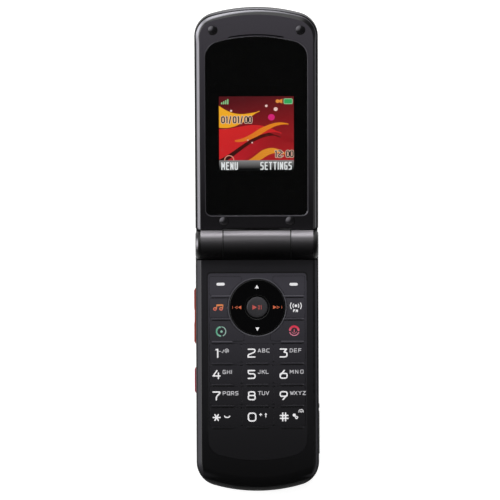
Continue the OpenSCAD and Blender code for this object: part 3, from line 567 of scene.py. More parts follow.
@dataclass(frozen=True)
class ClearAcrylic(Finish):
    """Cast acrylic window: clear, with a hard bright gloss and nothing in it but a trace of waviness."""

    def dress(self, tree: Tree, shader: Node, coords: Node) -> None:
        """Makes the acrylic clear and gives it its waviness.

        Args:
            tree: Node tree of the material.
            shader: Its Principled shader.
            coords: Texture coordinate node.
        """
        shader.inputs["Base Color"].default_value = linear(self.colour)
        shader.inputs["Roughness"].default_value = self.roughness
        shader.inputs["Transmission Weight"].default_value = 1.0
        height = self.grain(tree, coords)
        bump = add_node(tree, "Bump", {"Strength": 1.0, "Distance": self.depth_mm * MM}, {"Height": height})
        tree.links.new(bump.outputs[0], shader.inputs["Normal"])


@dataclass(frozen=True)
class ScreenLight(Finish):
    """Lit liquid crystal: coloured light from behind, which runs from one shade to another."""

    far_colour: str = "#000000"
    angle: float = 0.0
    centre_mm: tuple[float, float, float] = (0.0, 0.0, 0.0)
    span_mm: float = 28.0
    strength: float = 1.0

    def dress(self, tree: Tree, shader: Node, coords: Node) -> None:
        """Makes the surface dark and lets it glow in its two shades.

        Args:
            tree: Node tree of the material.
            shader: Its Principled shader.
            coords: Texture coordinate node.
        """
        shader.inputs["Base Color"].default_value = linear("#050505")
        shader.inputs["Roughness"].default_value = self.roughness
        shader.inputs["Emission Strength"].default_value = self.strength
        up = LID_FACE_SIDE.vector(math.cos(self.angle), math.sin(self.angle))
        shift = add_node(tree, "VectorMath", {1: tuple(c * MM for c in self.centre_mm)},
                         {0: coords.outputs["Object"]}, operation="SUBTRACT")
        run = add_node(tree, "VectorMath", {1: tuple(up)}, {0: shift}, operation="DOT_PRODUCT")
        share = add_node(tree, "MapRange", {1: -self.span_mm * MM / 2, 2: self.span_mm * MM / 2},
                         {0: run.outputs["Value"]})
        # picture elements 0.22 mm apart, seen only as a faint unevenness
        height = self.grain(tree, coords)
        mix = add_node(tree, "Mix", {6: linear(self.colour), 7: linear(self.far_colour)}, {0: share},
                       data_type="RGBA")
        dots = add_node(tree, "MapRange", {3: 1 - self.shade, 4: 1.0}, {0: height})
        lit = add_node(tree, "VectorMath", links={0: mix.outputs[2], 1: dots}, operation="MULTIPLY")
        tree.links.new(lit.outputs[0], shader.inputs["Emission Color"])


# ---- Places on the phone ----

@dataclass(frozen=True)
class Side:
    """A flat side of the phone to draw on: u runs right, v up and h out of it, in millimetres."""

    matrix: Matrix

    def point(self, u: float, v: float, h: float) -> Vector:
        """Returns the place of (u, v, h) in metres."""
        return self.matrix @ Vector((u * MM, v * MM, h * MM))

    def vector(self, u: float, v: float) -> Vector:
        """Returns the direction of (u, v)."""
        return (self.matrix.to_3x3() @ Vector((u, v, 0))).normalized()


HINGE_AT = Vector((0, AXIS_Y * MM, AXIS_Z * MM))
LID_TURN = Matrix.Translation(HINGE_AT) @ Matrix.Rotation(-OPEN_ANGLE, 4, "X") @ Matrix.Translation(-HINGE_AT)
KEYPAD_SIDE = Side(Matrix.Identity(4))
# folded shut, the display half faces down with its free end at -Y, so v grows towards that end
LID_FACE_SIDE = Side(LID_TURN @ Matrix.Rotation(math.pi, 4, "X"))


# ---- Flat reliefs: signs, letters and the screen's picture ----

def softened(points: Sequence[Point], radius: float, steps: int = 6) -> list[Point]:
    """Rounds the corners of a line. A point given twice stays sharp.

    Args:
        points: Corners of the line.
        radius: Length cut back on each side of a corner.
        steps: Points on each rounded corner.

    Returns:
        The points of the rounded line.
    """
    out = [points[0]]
    for before, corner, after in zip(points, points[1:], points[2:]):
        a, b, c = Vector(before), Vector(corner), Vector(after)
        reach_in, reach_out = (a - b).length, (c - b).length
        cut = min(radius, reach_in / 2, reach_out / 2)
        if cut < 1e-6:
            out.append(corner)
            continue
        start, end = b + (a - b).normalized() * cut, b + (c - b).normalized() * cut
        for i in range(steps + 1):
            t = i / steps
            out.append(tuple(start * (1 - t) ** 2 + b * (2 * t * (1 - t)) + end * t ** 2))
    out.append(points[-1])
    return [p for i, p in enumerate(out) if i == 0 or math.dist(p, out[i - 1]) > 1e-7]


def arc(centre: Point, radius: float, start: float, end: float, step: float = 8.0) -> list[Point]:
    """Returns points on an arc from start to end, in degrees counter-clockwise from the right."""
    count = max(int(abs(end - start) / step), 3)
    turns = [math.radians(start + (end - start) * i / count) for i in range(count + 1)]
    return [(centre[0] + radius * math.cos(t), centre[1] + radius * math.sin(t)) for t in turns]


class Shape:
    """A flat shape put together from strokes, discs and filled areas, as a distance to its edge."""

    def __init__(self) -> None:
        """Starts with nothing drawn."""
        self.parts: list[tuple[np.ndarray, float, bool]] = []

    def stroke(self, points: Sequence[Point], width: float) -> "Shape":
        """Adds a line with round ends and returns the shape."""
        self.parts.append((np.array(points, float), width / 2, False))
        return self

    def disc(self, centre: Point, radius: float) -> "Shape":
        """Adds a disc and returns the shape."""
        return self.stroke([centre, (centre[0] + 1e-5, centre[1])], 2 * radius)

    def area(self, points: Sequence[Point], grow: float = 0.0) -> "Shape":
        """Adds a filled outline, grown with round corners, and returns the shape."""
        self.parts.append((np.array(list(points) + [points[0]], float), grow, True))
        return self

    def join(self, other: "Shape") -> "Shape":
        """Adds all of another shape and returns this one."""
        self.parts += other.parts
        return self

    def grown(self, by: float) -> "Shape":
        """Returns a copy of the shape with every edge moved out."""
        copy = Shape()
        copy.parts = [(points, half + by, filled) for points, half, filled in self.parts]
        return copy

    def box(self) -> tuple[np.ndarray, np.ndarray]:
        """Returns the lowest and highest corner."""
        low = np.min([points.min(0) - half for points, half, _ in self.parts], axis=0)
        high = np.max([points.max(0) + half for points, half, _ in self.parts], axis=0)
        return low, high

    def distance(self, places: np.ndarray) -> np.ndarray:
        """Measures how far places are outside the shape.

        Args:
            places: Points, one a row.

        Returns:
            One distance a point, negative inside.
        """
        best = np.full(len(places), 1e9)
        for points, half, filled in self.parts:
            inside = np.zeros(len(places), bool)
            near = np.full(len(places), 1e9)
            for a, b in zip(points, points[1:]):
                run = b - a
                share = np.clip(((places - a) @ run) / max(run @ run, 1e-12), 0, 1)
                near = np.minimum(near, np.linalg.norm(places - a - share[:, None] * run, axis=1))
                if filled and a[1] != b[1]:
                    spans = (a[1] > places[:, 1]) != (b[1] > places[:, 1])
                    cross = a[0] + (places[:, 1] - a[1]) * run[0] / run[1]
                    inside ^= spans & (places[:, 0] < cross)
            best = np.minimum(best, np.where(inside, -near, near) - half)
        return best


def flat_mesh(shape: Shape, step: float, clip: Optional[Shape] = None,
              whole: bool = True) -> bmesh.types.BMesh:
    """Fills a shape with faces by following its edge across a grid.

    Args:
        shape: Shape in millimetres.
        step: Spacing of the grid.
        clip: Shape that the result stays inside.
        whole: Whether the grid's faces are joined into large ones.

    Returns:
        A flat mesh in millimetres, facing up.
    """
    low, high = shape.box()
    low, high = low - 1.5 * step, high + 1.5 * step
    count = np.ceil((high - low) / step).astype(int) + 1
    u, v = (low[k] + np.arange(count[k]) * step for k in (0, 1))
    places = np.array(np.meshgrid(u, v, indexing="ij")).reshape(2, -1).T
    depth = shape.distance(places)
    if clip:
        depth = np.maximum(depth, clip.distance(places))
    depth = depth.reshape(count)
    mesh = bmesh.new()
    made: dict[tuple, bmesh.types.BMVert] = {}

    def corner(i: int, j: int) -> bmesh.types.BMVert:
        """Returns the vertex on a grid point."""
        if (i, j) not in made:
            made[i, j] = mesh.verts.new((u[i], v[j], 0))
        return made[i, j]

    def crossing(a: tuple[int, int], b: tuple[int, int]) -> bmesh.types.BMVert:
        """Returns the vertex where the edge crosses between two grid points."""
        a, b = min(a, b), max(a, b)
        if (a, b) not in made:
            share = min(max(depth[a] / (depth[a] - depth[b]), 0.06), 0.94)
            made[a, b] = mesh.verts.new((u[a[0]] + share * (u[b[0]] - u[a[0]]),
                                         v[a[1]] + share * (v[b[1]] - v[a[1]]), 0))
        return made[a, b]

    for i in range(count[0] - 1):
        for j in range(count[1] - 1):
            cell = [(i, j), (i + 1, j), (i + 1, j + 1), (i, j + 1)]
            solid = [depth[c] < 0 for c in cell]
            if not any(solid):
                continue
            ring = []
            for k in range(4):
                after = (k + 1) % 4
                if solid[k]:
                    ring.append(corner(*cell[k]))
                if solid[k] != solid[after]:
                    ring.append(crossing(cell[k], cell[after]))
            mesh.faces.new(ring)
    if whole:
        bmesh.ops.dissolve_limit(mesh, angle_limit=0.0005, verts=mesh.verts, edges=mesh.edges)
    return mesh


@dataclass
class Workshop:
    """Makes the scene's own pieces and reports them."""

    made: list[str] = field(default_factory=list)

    def finish_piece(self, mesh: bmesh.types.BMesh, name: str, finish: Finish, body: str) -> bpy.types.Object:
        """Turns a mesh in metres into a piece that rides on a body.

        Args:
            mesh: The mesh, which is used up.
            name: Name of the piece.
            finish: Its finish.
            body: Body it rides on.

        Returns:
            The new object.
        """
        bmesh.ops.recalc_face_normals(mesh, faces=mesh.faces)
        data = bpy.data.meshes.new(name)
        mesh.to_mesh(data)
        mesh.free()
        piece = bpy.data.objects.new(name, data)
        bpy.context.collection.objects.link(piece)
        data.materials.append(finish.build())
        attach(piece, body)
        self.made.append(name)
        LOG.info("%s: %d faces, on %s", name, len(data.polygons), body)
        return piece

    def relief(self, shape: Shape, name: str, finish: Finish, body: str, side: Side,
               low: float, high: float, step: float = 0.09, clip: Optional[Shape] = None,
               rise: Optional[Callable[[float, float], float]] = None) -> bpy.types.Object:
        """Makes a thin raised layer with a shape's outline.

        Args:
            shape: Shape in millimetres on the side.
            name: Name of the piece.
            finish: Its finish.
            body: Body it rides on.
            side: Side it is drawn on.
            low: Height of its underside.
            high: Height of its top.
            step: Fineness of its edge.
            clip: Shape that it stays inside.
            rise: Height of the surface under it at (u, v), where that isn't flat.

        Returns:
            The new object.
        """
        mesh = flat_mesh(shape, step, clip, rise is None)
        floor = list(mesh.faces)
        raised = bmesh.ops.extrude_face_region(mesh, geom=floor)
        top = {v for v in raised["geom"] if isinstance(v, bmesh.types.BMVert)}
        for vertex in mesh.verts:
            u, v = vertex.co.xy
            lift = rise(u, v) if rise else 0
            vertex.co = side.point(u, v, (high if vertex in top else low) + lift)
        return self.finish_piece(mesh, name, finish, body)

    def key_print(self, shape: Shape, name: str, ink: Finish, node: str,
                  step: float = 0.09) -> bpy.types.Object:
        """Prints a sign on a key's flat top.

        Args:
            shape: The sign.
            name: Name of the piece.
            ink: Its ink.
            node: The key, which is also the body that it rides on.
            step: Fineness of its edge.

        Returns:
            The new object.
        """
        return self.relief(shape, name, ink, node, KEYPAD_SIDE, KEY_TOP - SINK,
                           KEY_TOP + INK_T, step)

    def swept(self, sections: Sequence[Sequence[Vector]], name: str, finish: Finish, body: str,
              closed: bool = False, smooth: bool = True) -> bpy.types.Object:
        """Joins closed sections, all with the same number of corners, into one solid.

        Args:
            sections: Corners of each section in metres.
            name: Name of the piece.
            finish: Its finish.
            body: Body it rides on.
            closed: Whether the last section meets the first one.
            smooth: Whether it is shaded smooth.

        Returns:
            The new object.
        """
        mesh = bmesh.new()
        rings = [[mesh.verts.new(p) for p in section] for section in sections]
        for i, ring in enumerate(rings if closed else rings[:-1]):
            after = rings[(i + 1) % len(rings)]
            for k in range(len(ring)):
                last = (k + 1) % len(ring)
                mesh.faces.new((ring[k], ring[last], after[last], after[k]))
        if not closed:
            mesh.faces.new(rings[0])
            mesh.faces.new(rings[-1])
        piece = self.finish_piece(mesh, name, finish, body)
        for face in piece.data.polygons:
            face.use_smooth = smooth and len(face.vertices) == 4
        return piece

    def turned(self, profile: Sequence[Point], centre: tuple[float, float, float], name: str, finish: Finish,
               body: str, steps: int = 128) -> bpy.types.Object:
        """Makes a ring by turning a closed section (radius, height) about an upright axis.

        Args:
            profile: Corners of the section in millimetres.
            centre: Centre of the ring in millimetres.
            name: Name of the piece.
            finish: Its finish.
            body: Body it rides on.
            steps: Corners round the ring.

        Returns:
            The new object.
        """
        turns = [2 * math.pi * i / steps for i in range(steps)]
        sections = [[Vector((centre[0] + r * math.cos(t), centre[1] + r * math.sin(t), centre[2] + h)) * MM
                     for r, h in profile] for t in turns]
        return self.swept(sections, name, finish, body, closed=True)


SHOP = Workshop()


def dress(node: str, finish: Finish) -> None:
    """Gives a CAD node its finish.

    Args:
        node: Name of the node.
        finish: Its finish.
    """
    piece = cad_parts[node]
    for holder in piece.material_slots:
        holder.material = finish.build()
    LOG.info("%s: %s", node, finish.name)


def ease_edges(node: str, width_mm: float, angle: float = 40.0, segments: int = 2) -> None:
    """Rounds a CAD node's sharp edges by a hair, as a mould does, so that they catch the light.

    Args:
        node: Name of the node.
        width_mm: Width of the rounding.
        angle: Sharpest fold in degrees that stays as it is.
        segments: Faces across the rounding.
    """
    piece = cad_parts[node]
    # the solids come as loose triangles: they are welded and their flat parts joined before the rounding
    weld = piece.modifiers.new("weld", "WELD")
    weld.merge_threshold = 2e-6
    flatten = piece.modifiers.new("flatten", "DECIMATE")
    flatten.decimate_type = "DISSOLVE"
    flatten.angle_limit = math.radians(0.6)
    bevel = piece.modifiers.new("bevel", "BEVEL")
    bevel.width = width_mm * MM
    bevel.segments = segments
    bevel.limit_method = "ANGLE"
    bevel.angle_limit = math.radians(angle)
    bevel.miter_outer = "MITER_ARC"
    bevel.harden_normals = False
    shade = piece.modifiers.new("shade", "WEIGHTED_NORMAL")
    shade.keep_sharp = False
    shade.weight = 60


def hinge_section(turn: float, corners: Iterable[Point]) -> list[Vector]:
    """Returns a section's corners (x, radius) about the hinge's axis at a turn in radians, in metres."""
    return [Vector((x, AXIS_Y + r * math.cos(turn), AXIS_Z + r * math.sin(turn))) * MM for x, r in corners]


def span(node: str) -> list[tuple[float, float]]:
    """Returns a node's lowest and highest place along each axis, in millimetres."""
    low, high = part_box(node)
    return [(a / MM, b / MM) for a, b in zip(low, high)]


# ---- Lettering ----

class Alphabet:
    """A plain rounded drawing alphabet: each character is a few lines on a grid six units high."""

    LETTERS = {
        "A": "0,0 1.8,6 2.2,6 4,0;0.6,1.9 3.4,1.9",
        "B": "0,0 0,0 0,6 0,6 3.7,6 3.7,3.1 0,3.1;2,3.1 4,3.1 4,0 0,0",
        "C": "4,6 0,6 0,0 4,0", "D": "0,0 0,0 0,6 0,6 2.6,6 4,4.6 4,1.4 2.6,0 0,0",
        "E": "3.8,6 0,6 0,6 0,0 0,0 3.8,0;0,3.1 3.3,3.1", "F": "3.8,6 0,6 0,6 0,0;0,3.1 3.3,3.1",
        "G": "4,6 0,6 0,0 4,0 4,0 4,2.9 4,2.9 2.4,2.9", "H": "0,0 0,6;4,0 4,6;0,3.1 4,3.1", "I": "0,0 0,6",
        "J": "3,6 3,0 0,0 0,1.4", "K": "0,0 0,6;3.8,6 0,2.5;1.4,3.7 4,0", "L": "0,6 0,0 0,0 3.6,0",
        "M": "0,0 0,6 0,6 2.4,2.2 2.4,2.2 4.8,6 4.8,6 4.8,0", "N": "0,0 0,6 0,6 4,0 4,0 4,6",
        "O": "2,6 0,6 0,0 4,0 4,6 2,6", "P": "0,0 0,6 0,6 4,6 4,2.6 0,2.6",
        "Q": "2,6 0,6 0,0 4,0 4,6 2,6;2.5,1.6 4.3,-0.5", "R": "0,0 0,6 0,6 4,6 4,2.6 0,2.6;2.2,2.6 4,0",
        "S": "4,6 0,6 0,3.1 4,3.1 4,0 0,0", "T": "0,6 4.2,6;2.1,6 2.1,0", "U": "0,6 0,0 4,0 4,6",
        "V": "0,6 2.1,0 2.1,0 4.2,6", "W": "0,6 1.3,0 1.3,0 2.6,5 2.6,5 3.9,0 3.9,0 5.2,6",
        "X": "0,0 4,6;0,6 4,0",
        "Y": "0,6 2,2.9 2,2.9 4,6;2,2.9 2,0", "Z": "0,6 4,6 4,6 0,0 0,0 4,0",
        "-": "0,2.2 2.6,2.2", ".": "0,0 0.05,0", "/": "0,-0.4 2.6,6.2", ":": "0,1 0.05,1;0,4.4 0.05,4.4",
    }
    FIGURES = {
        "1": "1.7,5.75 3,6 3,6 3,0", "2": "0.2,6 5.2,6 5.2,3.9 0,1.7 0,0 0,0 5.1,0",
        "3": "0.2,6 4.9,6 4.9,6 2.5,3.5 5.2,3.5 5.2,0 0.1,0", "4": "3,6 0.1,2 0.1,2 5.3,2;4.1,4.2 4.1,0",
        "5": "4.9,6 0.1,6 0.1,6 0.1,3.5 5.2,3.5 5.2,0 0.1,0",
        "6": "3.1,6 0.3,2.6;2.6,3.7 0,3.7 0,0 5.2,0 5.2,3.7 2.6,3.7", "7": "0,6 5.2,6 5.2,5.2 2.5,2.4 2.4,0",
        "8": "2.6,3.2 0.3,3.2 0.3,6 4.9,6 4.9,3.2 2.6,3.2;2.6,3.2 0,3.2 0,0 5.2,0 5.2,3.2 2.6,3.2",
        "9": "2.6,2.5 0,2.5 0,6 5.2,6 5.2,2.5 2.6,2.5;5,3.3 2,0",
        "0": "2.8,6 1.1,6 0,4.8 0,1.2 1.1,0 4.5,0 5.6,1.2 5.6,4.8 4.5,6 2.8,6",
        "*": "0,2.8 5.2,2.8;1.3,5 3.9,0.6;3.9,5 1.3,0.6",
        "#": "1.8,0 1.8,6;3.9,0 3.9,6;0,1.9 5.7,1.9;0,4.1 5.7,4.1",
    }

    @classmethod
    def lines(cls, character: str) -> list[list[Point]]:
        """Returns the lines of one character, in units of a sixth of its height."""
        code = cls.LETTERS.get(character) or cls.FIGURES[character]
        return [[tuple(map(float, p.split(","))) for p in line.split()] for line in code.split(";")]

    @classmethod
    def write(cls, text: str, at: Point, height: float, pen: float, pitch: Optional[float] = None,
              squeeze: float = 1.0, rounding: float = 1.3) -> Shape:
        """Writes a word.

        Args:
            text: The word.
            at: Lower left corner of its ink, in millimetres.
            height: Height of its ink.
            pen: Width of the pen.
            pitch: From one character to the next, or None to set them by their own widths.
            squeeze: Width of the characters, where one is their natural width.
            rounding: Rounding of their corners, in units.

        Returns:
            The word as a shape.
        """
        shape = Shape()
        unit = (height - pen) / 6
        start = at[0] + pen / 2
        for character in text:
            lines = cls.lines(character)
            for line in lines:
                shape.stroke([(start + x * unit * squeeze, at[1] + pen / 2 + y * unit)
                              for x, y in softened(line, rounding)], pen)
            width = max(x for line in lines for x, _ in line) * unit * squeeze
            start += pitch if pitch else width + 1.75 * pen
        return shape


# ---- Keypad half ----

# widths of the moulded roundings along a key's and a side control's edges
KEY_EDGE = 0.04
SIDE_EDGE = 0.25
# moulded ABS with a spark texture: an even soft black
SHELL_BLACK = Finish("spark_textured_abs", "#101012", 0.46, ior=1.53, grain_mm=0.22, depth_mm=0.003)
# charcoal lacquer with a painted shade that darkens it towards the free end; its bevel's metallic coat is
# tinted paler on the right as a painted highlight, a pale line along the right bevel, the bare bevel there
# gets painted shade, and the middle knuckle has a painted silver stripe
BASE_BEZEL = LacqueredBezel("lacquered_bezel_base_painted_light", "#262529", 0.32, ior=1.5, grain_mm=0.25, depth_mm=0.0015,
                            shade=0.06, painted_dark_y=-48.0, painted_light_y=38.0, deep=0.06, highlight_from=(0.25, 0.75),
                            highlight_colour_right="#5f5e64", painted_shade_right=0.85, painted_streak=(0.5, 0.88, 0.74),
                            painted_streak_edge=(0.98, 0.9))
# hard-coated polycarbonate sheet: dark grey with a dry sheen, and a painted shade that darkens it towards the
# free end
KEY_SHEET = Finish("hard_coated_polycarbonate_painted_shade", "#3e3c44", 0.36, ior=1.58, grain_mm=0.18, depth_mm=0.0015,
                   shade=0.07, painted_dark_y=-38.0, painted_light_y=28.0, deep=0.12, fall=1.7)
# painted highlight: a strip on each rib's crest, paler than the sheet, darker towards the free end by painted
# shade
RIB_HIGHLIGHT = Finish("rib_crest_painted_highlight", "#605e66", 0.34, ior=1.58, grain_mm=0.3, depth_mm=0.001, shade=0.07,
                   painted_dark_y=-38.0, painted_light_y=22.0, deep=0.26, fall=1.2)
# painted shadow: a thin dull black line under each rib and along the sheet's edge
SHADOW_LINE = PrintInk("black_shadow_line_ink", "#050506", 0.6, grain_mm=0.2, depth_mm=0.001)
# polished black ABS: deep, almost a mirror
PIANO_BLACK = Finish("polished_black_abs", "#040405", 0.2, ior=1.5, grain_mm=2.5, depth_mm=0.0008, shade=0.1,
                     gloss_spread=0.03)
# satin metallised cap: a little lighter than the sheet round it, with a painted shade that darkens its lower
# side
CENTER_SATIN = Finish("satin_metallised_cap_painted_shade", "#454448", 0.45, metallic=0.25, grain_mm=0.15, depth_mm=0.001,
                      painted_dark_y=16.0, painted_light_y=23.0, deep=0.45)
# polycarbonate coloured through: brick red with a fine grain
BRICK_RED = Finish("coloured_polycarbonate_brick", "#a8341f", 0.42, ior=1.58, grain_mm=0.2, depth_mm=0.003)
# the same resin in a cooler, wine-like red
CRIMSON = Finish("coloured_polycarbonate_crimson", "#9c2436", 0.42, ior=1.58, grain_mm=0.2, depth_mm=0.003)
# moulded silicone rubber: matt and dusty at a low angle
RUBBER = Finish("silicone_rubber", "#1b1b1d", 0.6, ior=1.41, grain_mm=0.12, depth_mm=0.004)
# opaque white ink: the brightest marks on the phone
WHITE_INK = PrintInk("white_ink", "#fbfafc", 0.55, grain_mm=0.15, depth_mm=0.001, shade=0.03)
# the same ink laid thin, so that small letters read a step greyer
SMALL_INK = PrintInk("white_ink_thin", "#c9c8cc", 0.55, grain_mm=0.15, depth_mm=0.001, shade=0.05)
# jade ink that pales to the right
GREEN_INK = PrintInk("green_ink", "#5fae8e", 0.5, grain_mm=0.15, depth_mm=0.001, shade=0.05,
                     far_colour="#a9c9bd", axis=0, near_mm=-15.2, far_mm=-11.8)
# rose ink that deepens to crimson towards the top
RED_INK = PrintInk("crimson_ink", "#d97f96", 0.5, grain_mm=0.15, depth_mm=0.001, shade=0.05,
                   far_colour="#e02c4c", axis=1, near_mm=9.6, far_mm=12.4)
# coral ink that warms to orange towards the top
CORAL_INK = PrintInk("coral_ink", "#e2685e", 0.5, grain_mm=0.15, depth_mm=0.001, shade=0.05,
                     far_colour="#e58a4c", axis=1, near_mm=18.6, far_mm=20.8)
# muted orange ink, soft against the polished ring
ORANGE_INK = PrintInk("orange_ink", "#dc6a44", 0.5, grain_mm=0.15, depth_mm=0.001, shade=0.05)
# darker coral ink, calm on the pale centre key
CORAL_PLAY = PrintInk("coral_ink_play", "#c9564f", 0.5, grain_mm=0.15, depth_mm=0.001, shade=0.05)
# lacquered bead, smoother than the sheet, so its crown catches a thin line of light
BEAD = Finish("gloss_lacquered_bead", "#56555b", 0.22, ior=1.5, grain_mm=0.4, depth_mm=0.001)
# dull black for painted shade: dark lines in the hinge's gaps, shadow crescents by the bumpers and rings that
# hide the highlights on the navigation ring
SHADE_BLACK = Finish("dull_black_painted_shade", "#020202", 0.6, ior=1.5, grain_mm=0.15, depth_mm=0.003)


class Column(Enum):
    """The three columns of number keys, by the left edge of their figures in millimetres."""

    LEFT = -16.94
    MIDDLE = -3.74
    RIGHT = 8.26


@dataclass
class NumberPad:
    """Twelve number keys with their printed figures and letters.

    Each key has its figure, its node, its letters and the pitch of those letters.
    """

    first_row: float = 2.72
    row_pitch: float = 7.99
    figure_h: float = 3.42
    figure_pen: float = 0.5
    letter_h: float = 1.5
    letter_pen: float = 0.26
    letters_in: float = 3.86
    narrow_in: float = 0.32
    keys: tuple = (("1", "key_1", "", 0), ("2", "key_2", "ABC", 1.62), ("3", "key_3", "DEF", 1.6),
                   ("4", "key_4", "GHI", 1.62), ("5", "key_5", "JKL", 1.47), ("6", "key_6", "MNO", 1.96),
                   ("7", "key_7", "PQRS", 1.55), ("8", "key_8", "TUV", 1.47), ("9", "key_9", "WXYZ", 1.58),
                   ("*", "key_star", "", 0), ("0", "key_0", "", 0), ("#", "key_hash", "", 0))

    def extras(self, mark: str, left: float, middle: float) -> Shape:
        """Draws the small symbols beside 1, *, 0 and #.

        Args:
            mark: The key's figure.
            left: Left edge of the small symbols.
            middle: Middle height of the row.

        Returns:
            The symbols as a shape.
        """
        shape, pen = Shape(), self.letter_pen
        top = middle + self.figure_h / 2 + 0.2
        if mark == "1":
            shape.stroke([(left - 1.35, top - 1.2), (left - 0.75, top - 1.2)], pen)
            shape.disc((left - 0.3, top - 1.5), 0.16)
            shape.stroke([(left + 0.05, top - 1.7), (left + 0.45, top - 0.65)], pen)
            shape.stroke(arc((left + 1.6, top - 0.98), 0.7, -50, 270), 0.22)
            shape.stroke(arc((left + 1.6, top - 0.98), 0.3, 0, 360), 0.2)
            shape.stroke([(left + 1.9, top - 0.7), (left + 1.94, top - 1.22), (left + 2.2, top - 1.22)], 0.18)
        elif mark == "*":
            shape.stroke(softened([(left + 0.66, middle + 0.4), (left + 0.98, middle - 0.08),
                                   (left + 2.28, middle - 0.08), (left + 2.6, middle + 0.4)], 0.3), 0.42)
        elif mark == "0":
            shape.stroke([(left + 1.0, middle + 0.5), (left + 1.0, middle + 1.34)], 0.32)
            shape.stroke([(left + 0.55, middle + 0.92), (left + 1.45, middle + 0.92)], 0.32)
            shape.area([(left + 2.5, middle + 0.9), (left + 3.4, middle + 0.9),
                        (left + 2.95, middle + 1.5)], 0.04)
            shape.stroke([(left + 2.95, middle + 0.9), (left + 2.95, middle + 0.05)], 0.34)
        else:
            centre, along = Vector((left + 2.02, middle + 0.22)), Vector((0.707, -0.707))
            first, last = centre - along * 0.62, centre + along * 0.62
            shape.stroke(arc(tuple(first), 0.42, 0, 360), 0.34).stroke(arc(tuple(last), 0.42, 0, 360), 0.34)
            shape.disc(tuple(first - along * 0.1), 0.3).disc(tuple(last + along * 0.25), 0.2)
            spark = Vector((left + 4.15, middle + 1.85))
            shape.stroke(arc(tuple(spark), 0.95, 25, 155), 0.2)
            for u, v in ((-0.8, 0.0), (-0.35, 0.3), (0.0, -0.05), (0.4, 0.3), (0.8, 0.0)):
                shape.disc((spark.x + u, spark.y + v), 0.2)
        return shape

    def build(self) -> None:
        """Prints every number key and dresses it."""
        columns = [column.value for column in Column]
        for i, (mark, node, word, pitch) in enumerate(self.keys):
            edge = columns[i % 3]
            left = edge + (self.narrow_in if mark == "1" else 0.0)
            middle = self.first_row - self.row_pitch * (i // 3)
            foot = middle - self.figure_h / 2
            figure = Alphabet.write(mark, (left, foot), self.figure_h, self.figure_pen, squeeze=1.02,
                                    rounding=1.7)
            SHOP.key_print(figure, f"figure_{node[4:]}", WHITE_INK, node)
            start = edge + self.letters_in
            if word:
                low = middle + self.figure_h / 2 - self.letter_h
                small = Alphabet.write(word, (start, low), self.letter_h, self.letter_pen, pitch,
                                       squeeze=1.18)
            else:
                small = self.extras(mark, start, middle)
            ink = SMALL_INK if word or mark == "1" else WHITE_INK
            SHOP.key_print(small, f"letters_{node[4:]}", ink, node, step=0.055)
            dress(node, KEY_SHEET)
            ease_edges(node, KEY_EDGE)


@dataclass
class SideColumns:
    """The six keys beside the navigation ring with their coloured signs."""

    def signs(self) -> dict[str, tuple[Shape, Finish]]:
        """Draws the signs.

        Returns:
            Node name to its sign and ink.
        """
        left_pill, right_pill = (Shape().stroke([(x - 1.02, y), (x + 1.02, y)], 1.06)
                                 for x, y in ((-13.69, 28.63), (13.7, 28.47)))
        note = Shape()
        for x, y in ((-15.85, 19.35), (-13.55, 19.4)):
            note.stroke(arc((x, y), 0.48, 0, 360), 0.38)
            note.stroke([(x + 0.58, y + 0.1), (x + 0.72, y + 1.4)], 0.32)
        note.area([(-15.2, 20.45), (-13.05, 20.6), (-13.05, 21.02), (-15.2, 20.95)], 0.1)
        radio = Shape().disc((14.5, 20.4), 0.5)
        for radius, sweep in ((1.12, 36), (2.05, 32)):
            for middle in (0, 180):
                radio.stroke(arc((14.5, 20.4), radius, middle - sweep, middle + sweep), 0.33)
        radio.join(Alphabet.write("FM", (13.45, 18.0), 1.08, 0.3, squeeze=0.9))
        send, middle = Shape(), (-13.6, 10.9)
        send.stroke(arc(middle, 1.7, 108, 262), 0.58).stroke(arc(middle, 1.78, -66, 74), 0.3)
        send.disc((-13.42, 10.85), 0.46).stroke([(-13.9, 12.3), (-13.5, 12.75)], 0.26)
        end, middle = Shape(), (13.85, 11.05)
        end.stroke(arc(middle, 1.78, 200, 340), 0.36).stroke(arc(middle, 1.62, 10, 170), 0.8)
        end.stroke([(13.85, 10.65), (13.85, 11.5)], 0.34).stroke(arc(middle, 0.98, 200, 340), 0.16)
        return {"softkey_left": (left_pill, WHITE_INK), "softkey_right": (right_pill, WHITE_INK),
                "music_key": (note, CORAL_INK), "radio_key": (radio, WHITE_INK),
                "send_key": (send, GREEN_INK), "end_key": (end, RED_INK)}

    def build(self) -> None:
        """Prints and dresses the six keys."""
        for node, (shape, ink) in self.signs().items():
            SHOP.key_print(shape, f"sign_{node}", ink, node, step=0.06)
            dress(node, KEY_SHEET)
            ease_edges(node, KEY_EDGE)


